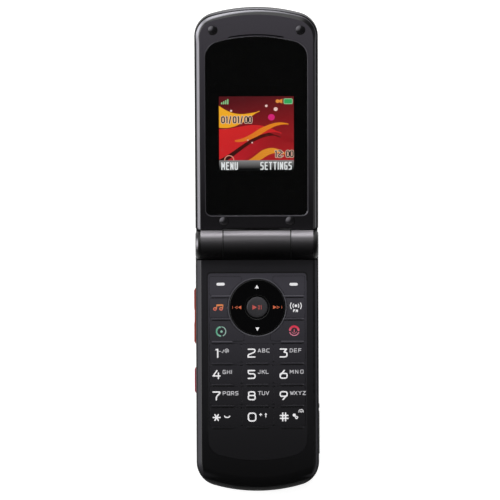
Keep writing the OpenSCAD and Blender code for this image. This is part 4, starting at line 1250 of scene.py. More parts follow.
@dataclass
class NavigationPad:
    """The round ring, its centre key, its signs and the bead round it."""

    y: float = 19.9
    radius: float = 10.5
    dish_from: float = 5.55
    dish_to: float = 9.6
    dish_low: float = 9.95
    dish_rise: float = 0.2
    cap_top: float = 10.05
    cap_dish_r: float = 30.0
    ink_t: float = 0.025
    ink_sink: float = 0.02
    bead_r: float = 10.86
    bead_half: float = 0.17
    throat_r: float = 4.35

    def ring_rise(self, u: float, v: float) -> float:
        """Returns the ring's height over the foot of its dish."""
        reach = (math.hypot(u, v - self.y) - self.dish_from) / (self.dish_to - self.dish_from)
        return self.dish_rise * min(max(reach, 0), 1)

    def cap_rise(self, u: float, v: float) -> float:
        """Returns the centre key's height over the middle of its dish."""
        return self.cap_dish_r - math.sqrt(self.cap_dish_r ** 2 - u ** 2 - (v - self.y) ** 2)

    def skip_sign(self, direction: int) -> Shape:
        """Draws two arrow heads and a bar.

        Args:
            direction: -1 for the left sign, 1 for the right one.

        Returns:
            The sign.
        """
        x, d, y = 6.0 * direction, direction, self.y
        sign = Shape().area([(x, y - 0.66), (x + 1.15 * d, y), (x, y + 0.66)], 0.03)
        sign.stroke([(x + 1.45 * d, y - 0.42), (x + 2.35 * d, y), (x + 1.45 * d, y + 0.42),
                     (x + 1.45 * d, y - 0.42)], 0.15)
        return sign.stroke([(x + 3.2 * d, y - 0.5), (x + 3.2 * d, y + 0.5)], 0.14)

    def signs(self) -> None:
        """Prints the arrows and skip signs on the ring and the play sign on the centre key."""
        signs = []
        for name, x, half, low, tip in (("arrow_up", -0.08, 0.7, 27.05, 28.28),
                                        ("arrow_down", 0.06, 0.64, 12.3, 11.12)):
            arrow = Shape().area([(x - half, low), (x + half, low), (x, tip)], 0.05)
            signs.append((name, arrow, WHITE_INK, 0.06))
        for name, direction in (("skip_back", -1), ("skip_forward", 1)):
            signs.append((name, self.skip_sign(direction), ORANGE_INK, 0.05))
        for name, shape, ink, step in signs:
            SHOP.relief(shape, name, ink, "nav_ring", KEYPAD_SIDE,
                        self.dish_low - self.ink_sink, self.dish_low + self.ink_t, step, rise=self.ring_rise)
        play = Shape().area([(-1.75, self.y - 0.82), (-0.2, self.y), (-1.75, self.y + 0.82)], 0.05)
        play.stroke([(0.4, self.y - 0.66), (0.4, self.y + 0.66), (0.85, self.y + 0.66), (0.85, self.y - 0.66),
                     (0.4, self.y - 0.66)], 0.15)
        play.stroke([(1.5, self.y - 0.7), (1.5, self.y + 0.7)], 0.22)
        SHOP.relief(play, "play_pause", CORAL_PLAY, "center_key", KEYPAD_SIDE,
                    self.cap_top - self.ink_sink, self.cap_top + self.ink_t, step=0.055, rise=self.cap_rise)

    def edges(self) -> None:
        """Lays the bead round the ring, and dull black rings at the foot of its dish and at its rim that hide
        the highlights there: painted shade.
        """
        r, half = self.bead_r, self.bead_half
        bead = [(r + half * math.cos(t), 0.14 * math.sin(t) - 0.02) for t in np.linspace(0, math.pi, 9)]
        bead += [(r - half, -0.08), (r + half, -0.08)]
        SHOP.turned(bead, (0, self.y, KEY_TOP), "nav_bead", BEAD, "base")
        r = self.throat_r
        throat = [(r, -0.13), (r + 0.3, 0.015), (r + 0.34, 0.015), (r + 0.34, -0.05), (r + 0.02, -0.2)]
        SHOP.turned(throat, (0, self.y, self.dish_low), "nav_throat", SHADE_BLACK, "nav_ring")
        r = self.radius
        shoulder = [(r + 0.02, -0.25), (r + 0.02, 0.0), (r - 0.3, 0.265), (r - 0.34, 0.265), (r - 0.34, 0.15),
                    (r - 0.05, -0.25)]
        SHOP.turned(shoulder, (0, self.y, KEY_TOP), "nav_shoulder", SHADE_BLACK, "nav_ring")

    def build(self) -> None:
        """Prints and dresses the ring and the centre key."""
        self.signs()
        self.edges()
        dress("nav_ring", PIANO_BLACK)
        dress("center_key", CENTER_SATIN)


@dataclass
class KeypadHalf:
    """Shells, keypad web and side controls of the half that lies on its back."""

    rib_rows: tuple = ((24.2, 23.62), (15.62, 15.05), (7.08, 6.5), (-1.13, -1.62), (-9.07, -9.56),
                       (-17.02, -17.51), (-25.15, -25.68))
    rib_spans: tuple = ((-16.9, -9.6), (-4.0, 3.9), (9.1, 17.2))
    # widths of each rib's painted highlight strip and of the painted shadow line below it
    crest_w: float = 0.44
    shadow_line_w: float = 0.36
    sheet_half: float = 18.72
    sheet_top: float = 32.98
    washer_x: tuple[float, float] = (12.5, 12.87)
    washer_r: tuple[float, float] = (5.3, 5.56)
    washer_steps: int = 64

    def ribs(self) -> None:
        """Lays a painted highlight strip on each rib's crest and a painted shadow line below it, between the
        rows of keys.
        """
        for kind, index, width, high, finish in (("crest", 0, self.crest_w, 0.04, RIB_HIGHLIGHT),
                                                 ("shadow_line", 1, self.shadow_line_w, LINE_T, SHADOW_LINE)):
            shape = Shape()
            for row, places in enumerate(self.rib_rows):
                for column, (left, right) in enumerate(self.rib_spans):
                    if row < 3 and column == 1:
                        continue
                    inward = 0.0 if row == 2 else (0.7, 0, 0.7)[column] * (row < 2)
                    left, right = left + inward * (column == 2), right - inward * (column == 0)
                    shape.stroke([(left, places[index]), (right, places[index])], width)
            SHOP.relief(shape, f"rib_{kind}", finish, "base", KEYPAD_SIDE, KEY_TOP - SINK,
                        KEY_TOP + high, step=0.1)
        # painted shadow: a dark line along the sheet's edge, widest along the top and the upper left,
        # thinnest on the right
        x, y = self.sheet_half, self.sheet_top
        edge = Shape().stroke(softened([(-x, 2.0), (-x, y), (x, y), (x, y - 3)], 1.5), 0.44)
        edge.stroke([(-x, -27.0), (-x, 2.0)], 0.26).stroke([(x, y - 3), (x, -27.0)], 0.14)
        SHOP.relief(edge, "sheet_edge_shadow_line", SHADOW_LINE, "base", KEYPAD_SIDE,
                    BASE_T - SINK, BASE_T + LINE_T, step=0.1)

    def seams(self) -> None:
        """Fills the gaps between neighbouring keys with strips of the sheet, so that it reads as one."""
        rows = (("key_1", "key_2", "key_3"), ("key_4", "key_5", "key_6"), ("key_7", "key_8", "key_9"),
                ("key_star", "key_0", "key_hash"))
        sections = []
        for row in rows:
            for left, right in zip(row, row[1:]):
                (x0, (low, _), _), (x1, _, _) = span(left), span(right)
                high = span(left)[1][1]
                sections.append((x0[1] + 0.01, x1[0] - 0.01, low - 0.11, high + 0.11))
            for key in row:
                (x0, x1), (low, _), _ = span(key)
                sections.append((x0, x1, low - 0.11, low - 0.01))
        for i, (x0, x1, y0, y1) in enumerate(sections):
            ring = [(x0, KEY_TOP - 0.3), (x1, KEY_TOP - 0.3), (x1, KEY_TOP - 0.015), (x0, KEY_TOP - 0.015)]
            SHOP.swept([[Vector((x, y, z)) * MM for x, z in ring] for y in (y0, (y0 + y1) / 2, y1)],
                       f"key_seam_{i + 1}", KEY_SHEET, "base", smooth=False)

    def washers(self) -> None:
        """Sets a thin washer of dull black in the gap at each end of the middle knuckle, a painted shade that
        darkens the gap.
        """
        turns = [2 * math.pi * i / self.washer_steps for i in range(self.washer_steps)]
        (near, far), (inner, outer) = self.washer_x, self.washer_r
        for name, side in (("left", -1), ("right", 1)):
            corners = [(side * near, inner), (side * near, outer), (side * far, outer), (side * far, inner)]
            SHOP.swept([hinge_section(turn, corners) for turn in turns], f"hinge_washer_{name}", SHADE_BLACK,
                       "base", closed=True, smooth=False)

    def build(self) -> None:
        """Dresses the half's visible shells and adds its trim."""
        self.ribs()
        self.seams()
        self.washers()
        dress("rear_housing", SHELL_BLACK)
        dress("front_housing", BASE_BEZEL)
        dress("keypad_web", KEY_SHEET)
        ease_edges("keypad_web", KEY_EDGE)
        dress("battery_cover", SHELL_BLACK)
        dress("port_cover", RUBBER)
        dress("volume_rocker", BRICK_RED)
        ease_edges("volume_rocker", SIDE_EDGE, segments=3)
        dress("side_key", CRIMSON)
        ease_edges("side_key", SIDE_EDGE, segments=3)


# ---- Display half ----

# direction out of the display half's face
LID_OUT = LID_FACE_SIDE.matrix.to_3x3() @ Vector((0, 0, 1))
# charcoal lacquer, darker towards the hinge by a painted shade; its bevel's metallic coat, paler at the left,
# is partly painted highlight and frames the window's half in light, and the bare bevel at the right and round
# the free end gets painted shade
LID_BEZEL = LacqueredBezel("lacquered_bezel_lid_painted_light", "#47444b", 0.34, ior=1.5, grain_mm=0.25, depth_mm=0.0015,
                           shade=0.06, facing=tuple(LID_OUT),
                           face_mm=LID_OUT.dot(LID_FACE_SIDE.point(0, 0, -LID_FACE)) / MM,
                           highlight_from=(0.02, 0.7), highlight_to=0.92, end_from_y=118.0, end_shift=0.5,
                           painted_shade_end=0.92, highlight_colour="#9b9aa0", highlight_colour_right="#8f8e94", painted_shade_right=0.8,
                           painted_dark_y=56.0, painted_light_y=128.0, deep=0.16)
# textured ABS: soft black, with a painted highlight on its rim round the free end and a painted silver stripe
# on its knuckles
LID_SHELL = LacqueredBezel("textured_abs_painted_highlights", "#101012", 0.46, ior=1.53, grain_mm=0.22,
                           depth_mm=0.003, facing=tuple(LID_OUT), tilt_low=(-1.1, -1.0), tilt_high=(3.0, 2.0),
                           face_mm=LID_BEZEL.face_mm, highlight_from=(1.0, 1.0), highlight_to=2.2, highlight_start_y=128.0,
                           highlight_colour="#77767b")
# cast polyurethane drop: smooth dark skin, with a painted highlight on the shoulder that faces the lamps
BUMPER = SheenDome("cast_polyurethane_painted_highlight", "#161518", 0.4, ior=1.5, grain_mm=0.3, depth_mm=0.002,
                   facing=(-0.42, 0.1, 0.9), sheen_tilt=(0.82, 0.99))
# polished cap with a painted highlight: a pale crescent on its outer shoulder
CAP_LACQUER = SheenDome("polished_cap_painted_highlight", "#030304", 0.5, ior=1.5, grain_mm=2.0, depth_mm=0.001,
                        facing=(-0.577, 0.06, 0.815), sheen_tilt=(0.92, 0.99), sheen_colour="#8e8c91",
                        sheen_roughness=0.3, sheen_metallic=0.85)
# back-printed black ink seen through the window: no shine of its own
WINDOW_PRINT = Finish("back_printed_black", "#020203", 0.25, ior=1.5, grain_mm=0.2, depth_mm=0.0005)
# pale metal edge of the window's seat, where it slopes down to the window: the lamps catch it, and its pale
# colour adds a painted highlight, a thin light line
WINDOW_LIP = Finish("pale_edge_painted_highlight", "#77757c", 0.3, metallic=0.7, grain_mm=0.3, depth_mm=0.001)
# hard-coated acrylic: clear, with a crisp thin shine over the black and the picture
WINDOW_CLEAR = ClearAcrylic("hard_coated_acrylic", "#fafcfc", 0.02, ior=1.49, grain_mm=9.0, depth_mm=0.0006)
# blackened steel cloth: a dark weave that glints at its crossings
EAR_MESH = WovenMesh("blackened_steel_cloth", "#08080a", 0.6, metallic=0.5, grain_mm=0.18, depth_mm=0.02,
                     shade=0.7)


@dataclass(frozen=True)
class Wave:
    """A flowing band of the picture: a sine line with a width that falls off from its widest place.

    Its lengths and places are in millimetres. Its tone is a material's name, two colours and the direction in
    degrees in which the first runs into the second.
    """

    name: str
    level: float
    swing: float
    phase: float
    run: float
    widest: float
    half: float
    taper: float
    least: float
    ends: tuple[float, float]
    tone: tuple[str, str, str, float]

    def line(self, u: float) -> float:
        """Returns the height of the band's middle at u."""
        return self.level + self.swing * math.sin((u + self.phase) / self.run)

    def reach(self, u: float) -> float:
        """Returns half the band's width at u."""
        return max(self.half - self.taper * abs(u - self.widest), self.least)


@dataclass
class Screen:
    """The lit picture under the window: a plain wave design, with figures, signs and a bar of words.

    Places are counted from the middle of the screen, v towards the free end.
    """

    mid_v: float = 0.17
    shift: float = -0.1
    half_w: float = 13.95
    half_h: float = 14.75
    panel_z: float = 11.75
    layer: float = 0.006
    overlap: float = 0.004
    spare: tuple[float, float] = (0.5, 0.6)
    count: int = 0
    waves: tuple = (
        Wave("deep", -5.5, 3.4, 3.0, 7.5, -15.0, 6.0, 0.18, 0.3, (-15, 15),
             ("screen_crimson", "#c2202a", "#8d161b", 20.0)),
        Wave("shadow", -3.4, 3.2, 7.0, 6.4, -15.0, 6.6, 0.3, 0.2, (-15, 9),
             ("screen_brown", "#35120f", "#5a1512", 60.0)),
        Wave("red", -1.6, 3.0, 7.0, 6.4, -15.0, 6.3, 0.27, 0.2, (-15, 9.4),
             ("screen_red", "#c81f27", "#dd2b2a", 120.0)),
        Wave("amber", 7.6, 2.2, 1.5, 4.6, -15.0, 4.6, 0.3, 0.15, (-15, 1.2),
             ("screen_amber", "#f49a16", "#ffb92e", 90.0)),
        Wave("orange", 0.5, 3.4, -1.0, 5.6, 1.0, 1.25, 0.1, 0.15, (-8, 12),
             ("screen_orange", "#e0652a", "#f0941e", 0.0)),
        Wave("low", -9.4, 2.6, -0.5, 3.9, 2.0, 1.7, 0.16, 0.15, (-8, 10.5),
             ("screen_gold", "#d8761f", "#eea030", 0.0)))
    bubbles: tuple = ((3.7, 10.9, 0.5), (7.2, 9.6, 0.75), (-1.6, -3.6, 0.3), (-3.2, -2.6, 0.25),
                      (-9.4, 9.0, 0.4))

    def at(self, u: float, v: float) -> Point:
        """Returns a place on the display half's face for a place on the screen."""
        return u, v + self.mid_v + self.shift

    def bar(self, high: Optional[float] = None) -> Shape:
        """Returns the whole picture's area, a little wider than the opening, or its part below a height."""
        w, h = self.half_w + self.spare[0], self.half_h + self.spare[1]
        top = h if high is None else high
        return Shape().area([self.at(-w, -h), self.at(w, -h), self.at(w, top), self.at(-w, top)])

    def lay(self, name: str, shape: Shape, light: Finish, step: float = 0.12) -> None:
        """Lays the next coloured layer of the picture on those before it.

        Args:
            name: Name of the piece.
            shape: Its shape on the face.
            light: Its finish.
            step: Fineness of its edge.
        """
        self.count += 1
        top = -self.panel_z + SINK + self.count * self.layer
        SHOP.relief(shape, name, light, "lid", LID_FACE_SIDE, top - self.layer - self.overlap,
                    top, step, self.bar())

    def light(self, name: str, near: str, far: Optional[str] = None, angle: float = 90.0) -> ScreenLight:
        """Makes a screen colour.

        Args:
            name: Name of the material.
            near: Colour at the low end.
            far: Colour at the far end, or None for one colour.
            angle: Direction of the run in degrees.

        Returns:
            The finish.
        """
        centre = LID_FACE_SIDE.point(*self.at(0, 0), -self.panel_z) / MM
        return ScreenLight(name, near, 0.35, grain_mm=0.22, shade=0.1, far_colour=far or near,
                           angle=math.radians(angle), centre_mm=tuple(centre))

    def ribbon(self, wave: Wave) -> Shape:
        """Draws a flowing band.

        Args:
            wave: Its line and width.

        Returns:
            The band.
        """
        places = np.linspace(*wave.ends, 40)
        upper = [self.at(u, wave.line(u) + wave.reach(u)) for u in places]
        lower = [self.at(u, wave.line(u) - wave.reach(u)) for u in places[::-1]]
        return Shape().area(upper + lower, 0.02)

    def build(self) -> None:
        """Lays the whole picture, from the back to the front."""
        self.lay("screen_field", self.bar(), self.light("screen_maroon", "#b41f24", "#57141a", 100.0), 0.6)
        for wave in self.waves:
            self.lay(f"screen_wave_{wave.name}", self.ribbon(wave), self.light(*wave.tone))
        bubbles = Shape()
        for u, v, r in self.bubbles:
            bubbles.disc(self.at(u, v), r)
        self.lay("screen_bubbles", bubbles, self.light("screen_pale", "#f6cfc9"))
        self.lay("screen_bubble_pink", Shape().disc(self.at(5.6, 6.4), 1.25),
                 self.light("screen_pink", "#e0287a"))
        self.lay("screen_ring", Shape().stroke(arc(self.at(-10.2, -10.4), 1.7, 0, 360), 0.3),
                 self.light("screen_coral", "#f2a08a"))
        self.status_signs()
        self.soft_bar()

    def status_signs(self) -> None:
        """Lays the battery, signal and bell signs and the figures of the clock and the day."""
        battery = [self.at(u, v) for u, v in ((10.6, 12.0), (13.1, 12.0), (13.1, 13.35), (10.6, 13.35))]
        self.lay("screen_battery_edge", Shape().area(battery, 0.42), self.light("screen_mint", "#a6d8a8"))
        self.lay("screen_battery", Shape().area(battery, 0.2),
                 self.light("screen_green", "#2b9a50", "#38ad5f"))
        bars = Shape()
        for i in range(4):
            foot = self.at(-12.9 + 0.75 * i, 11.8)
            bars.stroke([foot, (foot[0], foot[1] + 0.35 + 0.42 * i)], 0.5)
        self.lay("screen_signal", bars, self.light("screen_signal_green", "#8fce8f"))
        bell = Shape().disc(self.at(7.9, 12.75), 0.72).area([self.at(8.5, 12.5), self.at(9.6, 12.0),
                                                             self.at(9.6, 13.5), self.at(8.5, 13.0)], 0.12)
        self.lay("screen_bell", bell, self.light("screen_bell_orange", "#ee9440"))
        for name, text, u, v, pitch in (("day", "01/01/00", -13.15, 4.1, 1.44),
                                        ("clock", "12:00", 6.6, -9.45, 1.46)):
            ink = Shape()
            for i, character in enumerate(text):
                ink.join(Alphabet.write(character, self.at(u + i * pitch, v), 2.75, 0.42, squeeze=0.46,
                                        rounding=1.6))
            self.lay(f"screen_{name}_edge", ink.grown(0.2), self.light("screen_halo", "#e9c9b4"), 0.09)
            self.lay(f"screen_{name}", ink, self.light("screen_black", "#120c0c"), 0.08)

    def soft_bar(self) -> None:
        """Lays the grey bar and its two words."""
        bar = ScreenLight("screen_bar", "#0a0b0b", 0.35, grain_mm=0.22, shade=0.1, far_colour="#8d8b8b",
                          angle=math.radians(90.0), span_mm=3.4,
                          centre_mm=tuple(LID_FACE_SIDE.point(*self.at(0, -12.2), -self.panel_z) / MM))
        self.lay("screen_soft_bar", self.bar(-10.55), bar, 0.3)
        for name, text, u in (("left", "MENU", -13.2), ("right", "SETTINGS", 1.4)):
            word = Alphabet.write(text, self.at(u, -14.35), 3.15, 0.46, squeeze=0.45, rounding=0.9)
            self.lay(f"screen_word_{name}", word, self.light("screen_white", "#eceeee"), 0.08)


@dataclass
class Window:
    """The clear window and the black print behind it, which leaves the screen open."""

    width: float = 37.9
    top_y: float = -38.5
    end_y: float = 32.0
    span: float = 45.0
    corner_r: float = 2.0
    print_t: float = 0.03
    print_z: float = 11.1
    print_gap: float = 0.002
    margin: float = 0.12
    lip: tuple = ((0.11, -0.01), (0.3, 0.12), (0.34, 0.1), (0.36, -0.01))

    def outline(self, margin: float) -> list[Point]:
        """Returns the window's outline on the face, smaller by a margin."""
        corner = self.width / 2 - CORNER_COS * self.span
        arc_r = corner + self.span
        centre_y = self.top_y + arc_r
        corner_y = centre_y - CORNER_SIN * self.span
        swing = math.degrees(math.acos(CORNER_COS))
        points = []
        points += arc((CORNER_COS * self.span, -corner_y), corner - margin, 0, swing, 4)
        points += arc((0, -centre_y), arc_r - margin, swing, 180 - swing, 1.5)[1:-1]
        points += arc((-CORNER_COS * self.span, -corner_y), corner - margin, 180 - swing, 180, 4)
        half, low = self.width / 2, -self.end_y
        for x, start in ((-half + self.corner_r, 180), (half - self.corner_r, 270)):
            points += arc((x, low + self.corner_r), self.corner_r - margin, start, start + 90, 8)
        return points

    def build(self, screen: Screen) -> None:
        """Makes the print, dresses the window and eases its rim.

        Args:
            screen: The screen that the print leaves open.
        """
        mesh = bmesh.new()
        low_v, high_v = (screen.mid_v + s * screen.half_h for s in (-1, 1))
        hole = [(-screen.half_w, low_v), (screen.half_w, low_v), (screen.half_w, high_v),
                (-screen.half_w, high_v)]
        edges = []
        for loop in (self.outline(self.margin), hole):
            ring = [mesh.verts.new((u, v, 0)) for u, v in loop]
            edges += [mesh.edges.new((ring[i - 1], ring[i])) for i in range(len(ring))]
        bmesh.ops.triangle_fill(mesh, use_beauty=True, use_dissolve=False, edges=edges)
        raised = bmesh.ops.extrude_face_region(mesh, geom=list(mesh.faces))
        back = {v for v in raised["geom"] if isinstance(v, bmesh.types.BMVert)}
        for vertex in mesh.verts:
            depth = -self.print_z - (self.print_t if vertex in back else self.print_gap)
            vertex.co = LID_FACE_SIDE.point(vertex.co.x, vertex.co.y, depth)
        SHOP.finish_piece(mesh, "window_print", WINDOW_PRINT, "lid")
        rings = [self.outline(-offset) for offset, _ in self.lip]
        sections = [[LID_FACE_SIDE.point(*ring[i], -LID_FACE + h) for ring, (_, h) in zip(rings, self.lip)]
                    for i in range(len(rings[0]))]
        SHOP.swept(sections, "window_lip", WINDOW_LIP, "lid", closed=True, smooth=False)
        dress("display_lens", WINDOW_CLEAR)
        ease_edges("display_lens", 0.22, segments=3)


@dataclass
class DisplayHalf:
    """Shells, window, screen and bumpers of the raised half."""

    screen: Screen = field(default_factory=Screen)
    window: Window = field(default_factory=Window)
    lips: tuple = (("middle", -12.91, 12.91, 5.86, 6.36), ("left", -22.75, -12.91, 5.3, 6.2),
                   ("right", 12.91, 22.75, 5.3, 6.2))
    lip_turn: tuple[float, float] = (10.0, -30.0)
    lip_steps: int = 12
    bumpers: tuple = ((-16.3, 41.2), (16.3, 41.2), (-12.4, -34.2), (12.4, -34.2))

    def hinge_lips(self) -> None:
        """Closes the slits between this half and the barrel with curved lips that turn with it."""
        for name, x0, x1, inner, outer in self.lips:
            corners = [(x0, inner), (x1, inner), (x1, outer), (x0, outer)]
            sections = [hinge_section(turn, corners)
                        for turn in np.radians(np.linspace(*self.lip_turn, self.lip_steps))]
            SHOP.swept(sections, f"hinge_lip_{name}", SHELL_BLACK, "lid", smooth=False)

    def build(self) -> None:
        """Builds the screen, the window and the lips and dresses the shells."""
        self.screen.build()
        self.window.build(self.screen)
        self.hinge_lips()
        # painted shadow: a dull black crescent at the lower right of each bumper
        shadow_crescents = Shape()
        for u, v in self.bumpers:
            shadow_crescents.stroke(arc((u + 0.12, v - 0.14), 1.68, -125, 40), 0.42)
        SHOP.relief(shadow_crescents, "bumper_shadow_crescents", SHADE_BLACK, "lid", LID_FACE_SIDE, -LID_FACE - SINK,
                    -LID_FACE + LINE_T, step=0.1)
        dress("lid_outer_cover", LID_SHELL)
        dress("lid_inner_cover", LID_BEZEL)
        dress("lid_bumpers", BUMPER)
        dress("earpiece_mesh", EAR_MESH)
        dress("hinge_caps", CAP_LACQUER)


# ---- Inside ----

# rolled tin plate: pale grey metal with fine lines
TIN = BrushedMetal("tinned_steel_sheet", "#b9b8b4", 0.34, metallic=1.0, grain_mm=0.08, depth_mm=0.001,
                   shade=0.1)
# turned steel: brighter than the tin, with its lines across
STEEL = BrushedMetal("turned_stainless_steel", "#a8a8aa", 0.28, metallic=1.0, grain_mm=0.06, depth_mm=0.001,
                     shade=0.1, along=0)
# gilt bronze: warm yellow and bright
GILT = BrushedMetal("gold_plated_bronze", "#c79a3e", 0.3, metallic=1.0, grain_mm=0.08, depth_mm=0.001,
                    along=1)
# solder mask: deep green, paler over the copper
BOARD = BoardLacquer("solder_mask_board", "#1c5136", 0.35, ior=1.5, grain_mm=1.3, depth_mm=0.01, shade=0.22)
# coated polyimide film: amber orange with a wet shine
FILM = Finish("polyimide_film", "#a8641e", 0.3, ior=1.7, grain_mm=0.8, depth_mm=0.002, coat=0.3)
# shrunk sleeve: navy blue with a soft shine
WRAP = Finish("shrunk_battery_wrap", "#24365e", 0.4, ior=1.53, grain_mm=0.5, depth_mm=0.004, coat=0.2,
              coat_roughness=0.2)
# glass-filled polyamide: cream and dull
CARRIER = Finish("glass_filled_polyamide", "#cfc8b4", 0.5, ior=1.53, grain_mm=0.25, depth_mm=0.004)
# black nylon: dark and dull
DARK_PART = Finish("moulded_black_nylon", "#1d1d1f", 0.5, ior=1.53, grain_mm=0.3, depth_mm=0.004)
# panel glass: almost black and smooth
PANEL_GLASS = Finish("liquid_crystal_glass", "#14161a", 0.12, ior=1.52, grain_mm=3.0, depth_mm=0.0005)


@dataclass
class Inside:
    """Everything that shows only with the cover off, the flap open or the phone apart."""

    finishes: tuple = (
        (TIN, ("shield_cans", "dome_sheet", "usb_socket", "sim_holder", "memory_card_slot", "microphone",
               "lcd_frame", "side_switches")),
        (STEEL, ("vibration_motor", "housing_screws", "hinge_cartridge", "hinge_bush", "lid_screws",
                 "lid_magnet", "nav_gimbal")),
        (GILT, ("battery_contacts",)), (BOARD, ("main_board", "lid_board")), (FILM, ("flex_cable",)),
        (WRAP, ("battery_pack",)), (CARRIER, ("antenna",)), (DARK_PART, ("loudspeaker", "earpiece")),
        (PANEL_GLASS, ("lcd_panel",)))

    def build(self) -> None:
        """Dresses the inner pieces."""
        for finish, nodes in self.finishes:
            for node in nodes:
                dress(node, finish)


# ---- Studio ----

# unlit card: shows only as a dark band in the phone's gloss
BLACK_CARD = Finish("black_card", "#040404", 0.9, grain_mm=2.0)


@dataclass
class Softbox:
    """A rectangular studio light."""

    name: str
    place: tuple[float, float, float]
    size: Point
    power: float
    aim: tuple[float, float, float] = (0.0, 0.04, 0.01)

    def build(self) -> None:
        """Hangs the light and turns it to its aim."""
        lamp = bpy.data.lights.new(self.name, "AREA")
        lamp.shape = "RECTANGLE"
        lamp.size, lamp.size_y = self.size
        lamp.energy = self.power
        holder = bpy.data.objects.new(self.name, lamp)
        holder.location = self.place
        holder.rotation_euler = (Vector(self.aim) - Vector(self.place)).to_track_quat("-Z", "Y").to_euler()
        bpy.context.collection.objects.link(holder)


@dataclass
class Flag:
    """A bent black card beside the phone that keeps the room's light out of its gloss on that side."""

    name: str
    place: Point
    along: Point
    length: float
    height: float
    bend: float = 0.02
    steps: int = 12

    def build(self) -> None:
        """Stands the card on the floor. Only reflections meet it."""
        mesh = bmesh.new()
        foot, head = [], []
        for i in range(self.steps + 1):
            share = 2 * i / self.steps - 1
            sag = self.bend * (1 - share ** 2)
            x = self.place[0] + self.along[0] * share * self.length / 2 + self.along[1] * sag
            y = self.place[1] + self.along[1] * share * self.length / 2 - self.along[0] * sag
            foot.append(mesh.verts.new((x, y, 0)))
            head.append(mesh.verts.new((x, y, self.height)))
        for i in range(self.steps):
            mesh.faces.new((foot[i], foot[i + 1], head[i + 1], head[i]))
        data = bpy.data.meshes.new(self.name)
        mesh.to_mesh(data)
        mesh.free()
        data.materials.append(BLACK_CARD.build())
        card = bpy.data.objects.new(self.name, data)
        bpy.context.collection.objects.link(card)
        card.visible_camera = card.visible_diffuse = card.visible_shadow = False
        card.visible_transmission = False


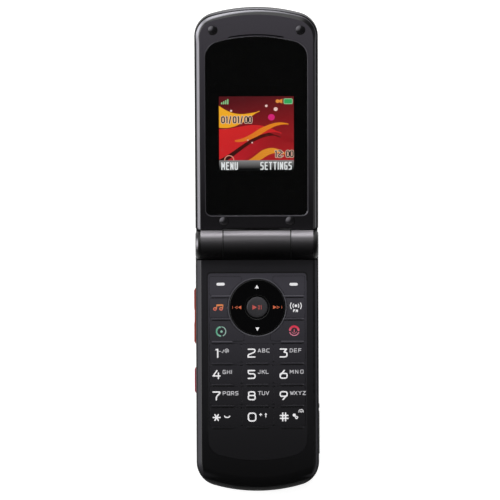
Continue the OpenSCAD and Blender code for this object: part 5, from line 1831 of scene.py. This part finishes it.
@dataclass
class Studio:
    """Pale floor, soft lights and the camera, which looks straight down on the open phone."""

    mm_per_px: float = 0.375
    picture_px: int = 500
    centre_mm: Point = (-2.6, 41.4)
    height: float = 3.0
    roll: float = -0.26
    floor_size: float = 6.0
    floor_glow: float = 0.76
    sky_light: float = 0.45
    bright_side: tuple[float, float, float] = (-0.25, 0.75, 0.0)
    boxes: tuple = (
        Softbox("softbox_top", (-0.1, 0.95, 0.6), (1.6, 0.8), 10.0),
        Softbox("softbox_left", (-1.0, 0.15, 0.36), (0.7, 1.2), 5.6),
    )
    flags: tuple = (
        Flag("flag_right", (0.12, 0.04), (0.0, 1.0), 0.26, 0.17),
        Flag("flag_front", (0.0, -0.085), (1.0, 0.0), 0.24, 0.1),
        Flag("flag_corner", (-0.095, 0.205), (0.7071, 0.7071), 0.1, 0.08),
    )

    def floor(self) -> None:
        """Lays the floor: pale card that shows the shadow."""
        mesh = bmesh.new()
        bmesh.ops.create_grid(mesh, x_segments=1, y_segments=1, size=self.floor_size / 2)
        for vertex in mesh.verts:
            vertex.co.z = -0.00002
        data = bpy.data.meshes.new("floor")
        mesh.to_mesh(data)
        mesh.free()
        floor = bpy.data.objects.new("floor", data)
        bpy.context.collection.objects.link(floor)
        material = bpy.data.materials.new("pale_card")
        material.use_nodes = True
        tree = material.node_tree
        shader = tree.nodes["Principled BSDF"]
        shader.inputs["Base Color"].default_value = linear("#d4d4d4")
        shader.inputs["Roughness"].default_value = 0.9
        shader.inputs["Specular IOR Level"].default_value = 0.1
        path = add_node(tree, "LightPath")
        seen = path.outputs["Is Camera Ray"]
        for other in ("Is Glossy Ray", "Is Transmission Ray"):
            seen = add_node(tree, "Math", links={0: seen, 1: path.outputs[other]},
                            operation="MAXIMUM").outputs[0]
        lift = add_node(tree, "Math", {1: self.floor_glow}, {0: seen}, operation="MULTIPLY")
        glow = add_node(tree, "Emission", {"Color": (1, 1, 1, 1)}, {"Strength": lift})
        both = add_node(tree, "AddShader", links={0: shader, 1: glow})
        tree.links.new(both.outputs[0], tree.nodes["Material Output"].inputs["Surface"])
        data.materials.append(material)

    def sky(self) -> None:
        """Sets the room: white to the camera, and to gloss only low down on the side of the lights."""
        world = bpy.data.worlds.new("room")
        bpy.context.scene.world = world
        world.use_nodes = True
        tree = world.node_tree
        path = add_node(tree, "LightPath")
        coords = add_node(tree, "TexCoord")
        height = add_node(tree, "SeparateXYZ", links={0: coords.outputs["Generated"]})
        low = add_node(tree, "MapRange", {1: 0.45, 2: 0.2}, {0: height.outputs["Z"]})
        aside = add_node(tree, "VectorMath", {1: self.bright_side}, {0: coords.outputs["Generated"]},
                         operation="DOT_PRODUCT")
        side = add_node(tree, "MapRange", {1: -0.5, 2: 0.9}, {0: aside.outputs["Value"]})
        band = add_node(tree, "Math", links={0: low, 1: side}, operation="MULTIPLY")
        shine = add_node(tree, "MapRange", {3: 0.02, 4: 1.0}, {0: band})
        gloss = add_node(tree, "Math", links={0: path.outputs["Is Glossy Ray"],
                                              1: path.outputs["Is Transmission Ray"]},
                         operation="MAXIMUM")
        soft = add_node(tree, "Mix", {2: self.sky_light}, {0: gloss, 3: shine}, data_type="FLOAT")
        final = add_node(tree, "Mix", {3: 1.0}, {0: path.outputs["Is Camera Ray"], 2: soft},
                         data_type="FLOAT")
        back = tree.nodes["Background"]
        back.inputs["Color"].default_value = (1, 1, 1, 1)
        tree.links.new(final.outputs[0], back.inputs["Strength"])

    def camera(self) -> None:
        """Sets the camera straight above the phone."""
        data = bpy.data.cameras.new("camera")
        data.sensor_width = 36.0
        reach = self.height - BASE_T * MM
        data.lens = data.sensor_width * reach / (self.mm_per_px * MM * self.picture_px)
        data.clip_start, data.clip_end = 0.1, 20.0
        camera = bpy.data.objects.new("camera", data)
        camera.location = (self.centre_mm[0] * MM, self.centre_mm[1] * MM, self.height)
        camera.rotation_euler = (0, 0, math.radians(self.roll))
        bpy.context.collection.objects.link(camera)
        bpy.context.scene.camera = camera

    def build(self) -> None:
        """Builds the whole studio."""
        self.floor()
        self.sky()
        for piece in self.boxes + self.flags:
            piece.build()
        self.camera()
        bpy.context.scene.view_settings.view_transform = "Standard"


def main() -> None:
    """Builds the phone's assemblies in order, then the studio round it."""
    logging.basicConfig(level=logging.INFO, format="%(name)s: %(message)s")
    for assembly in (KeypadHalf(), NumberPad(), SideColumns(), NavigationPad(), DisplayHalf(), Inside()):
        assembly.build()
        LOG.info("%s is in place", type(assembly).__name__)
    Studio().build()
    LOG.info("%d pieces made", len(SHOP.made))


if __name__ == "__main__":
    main()
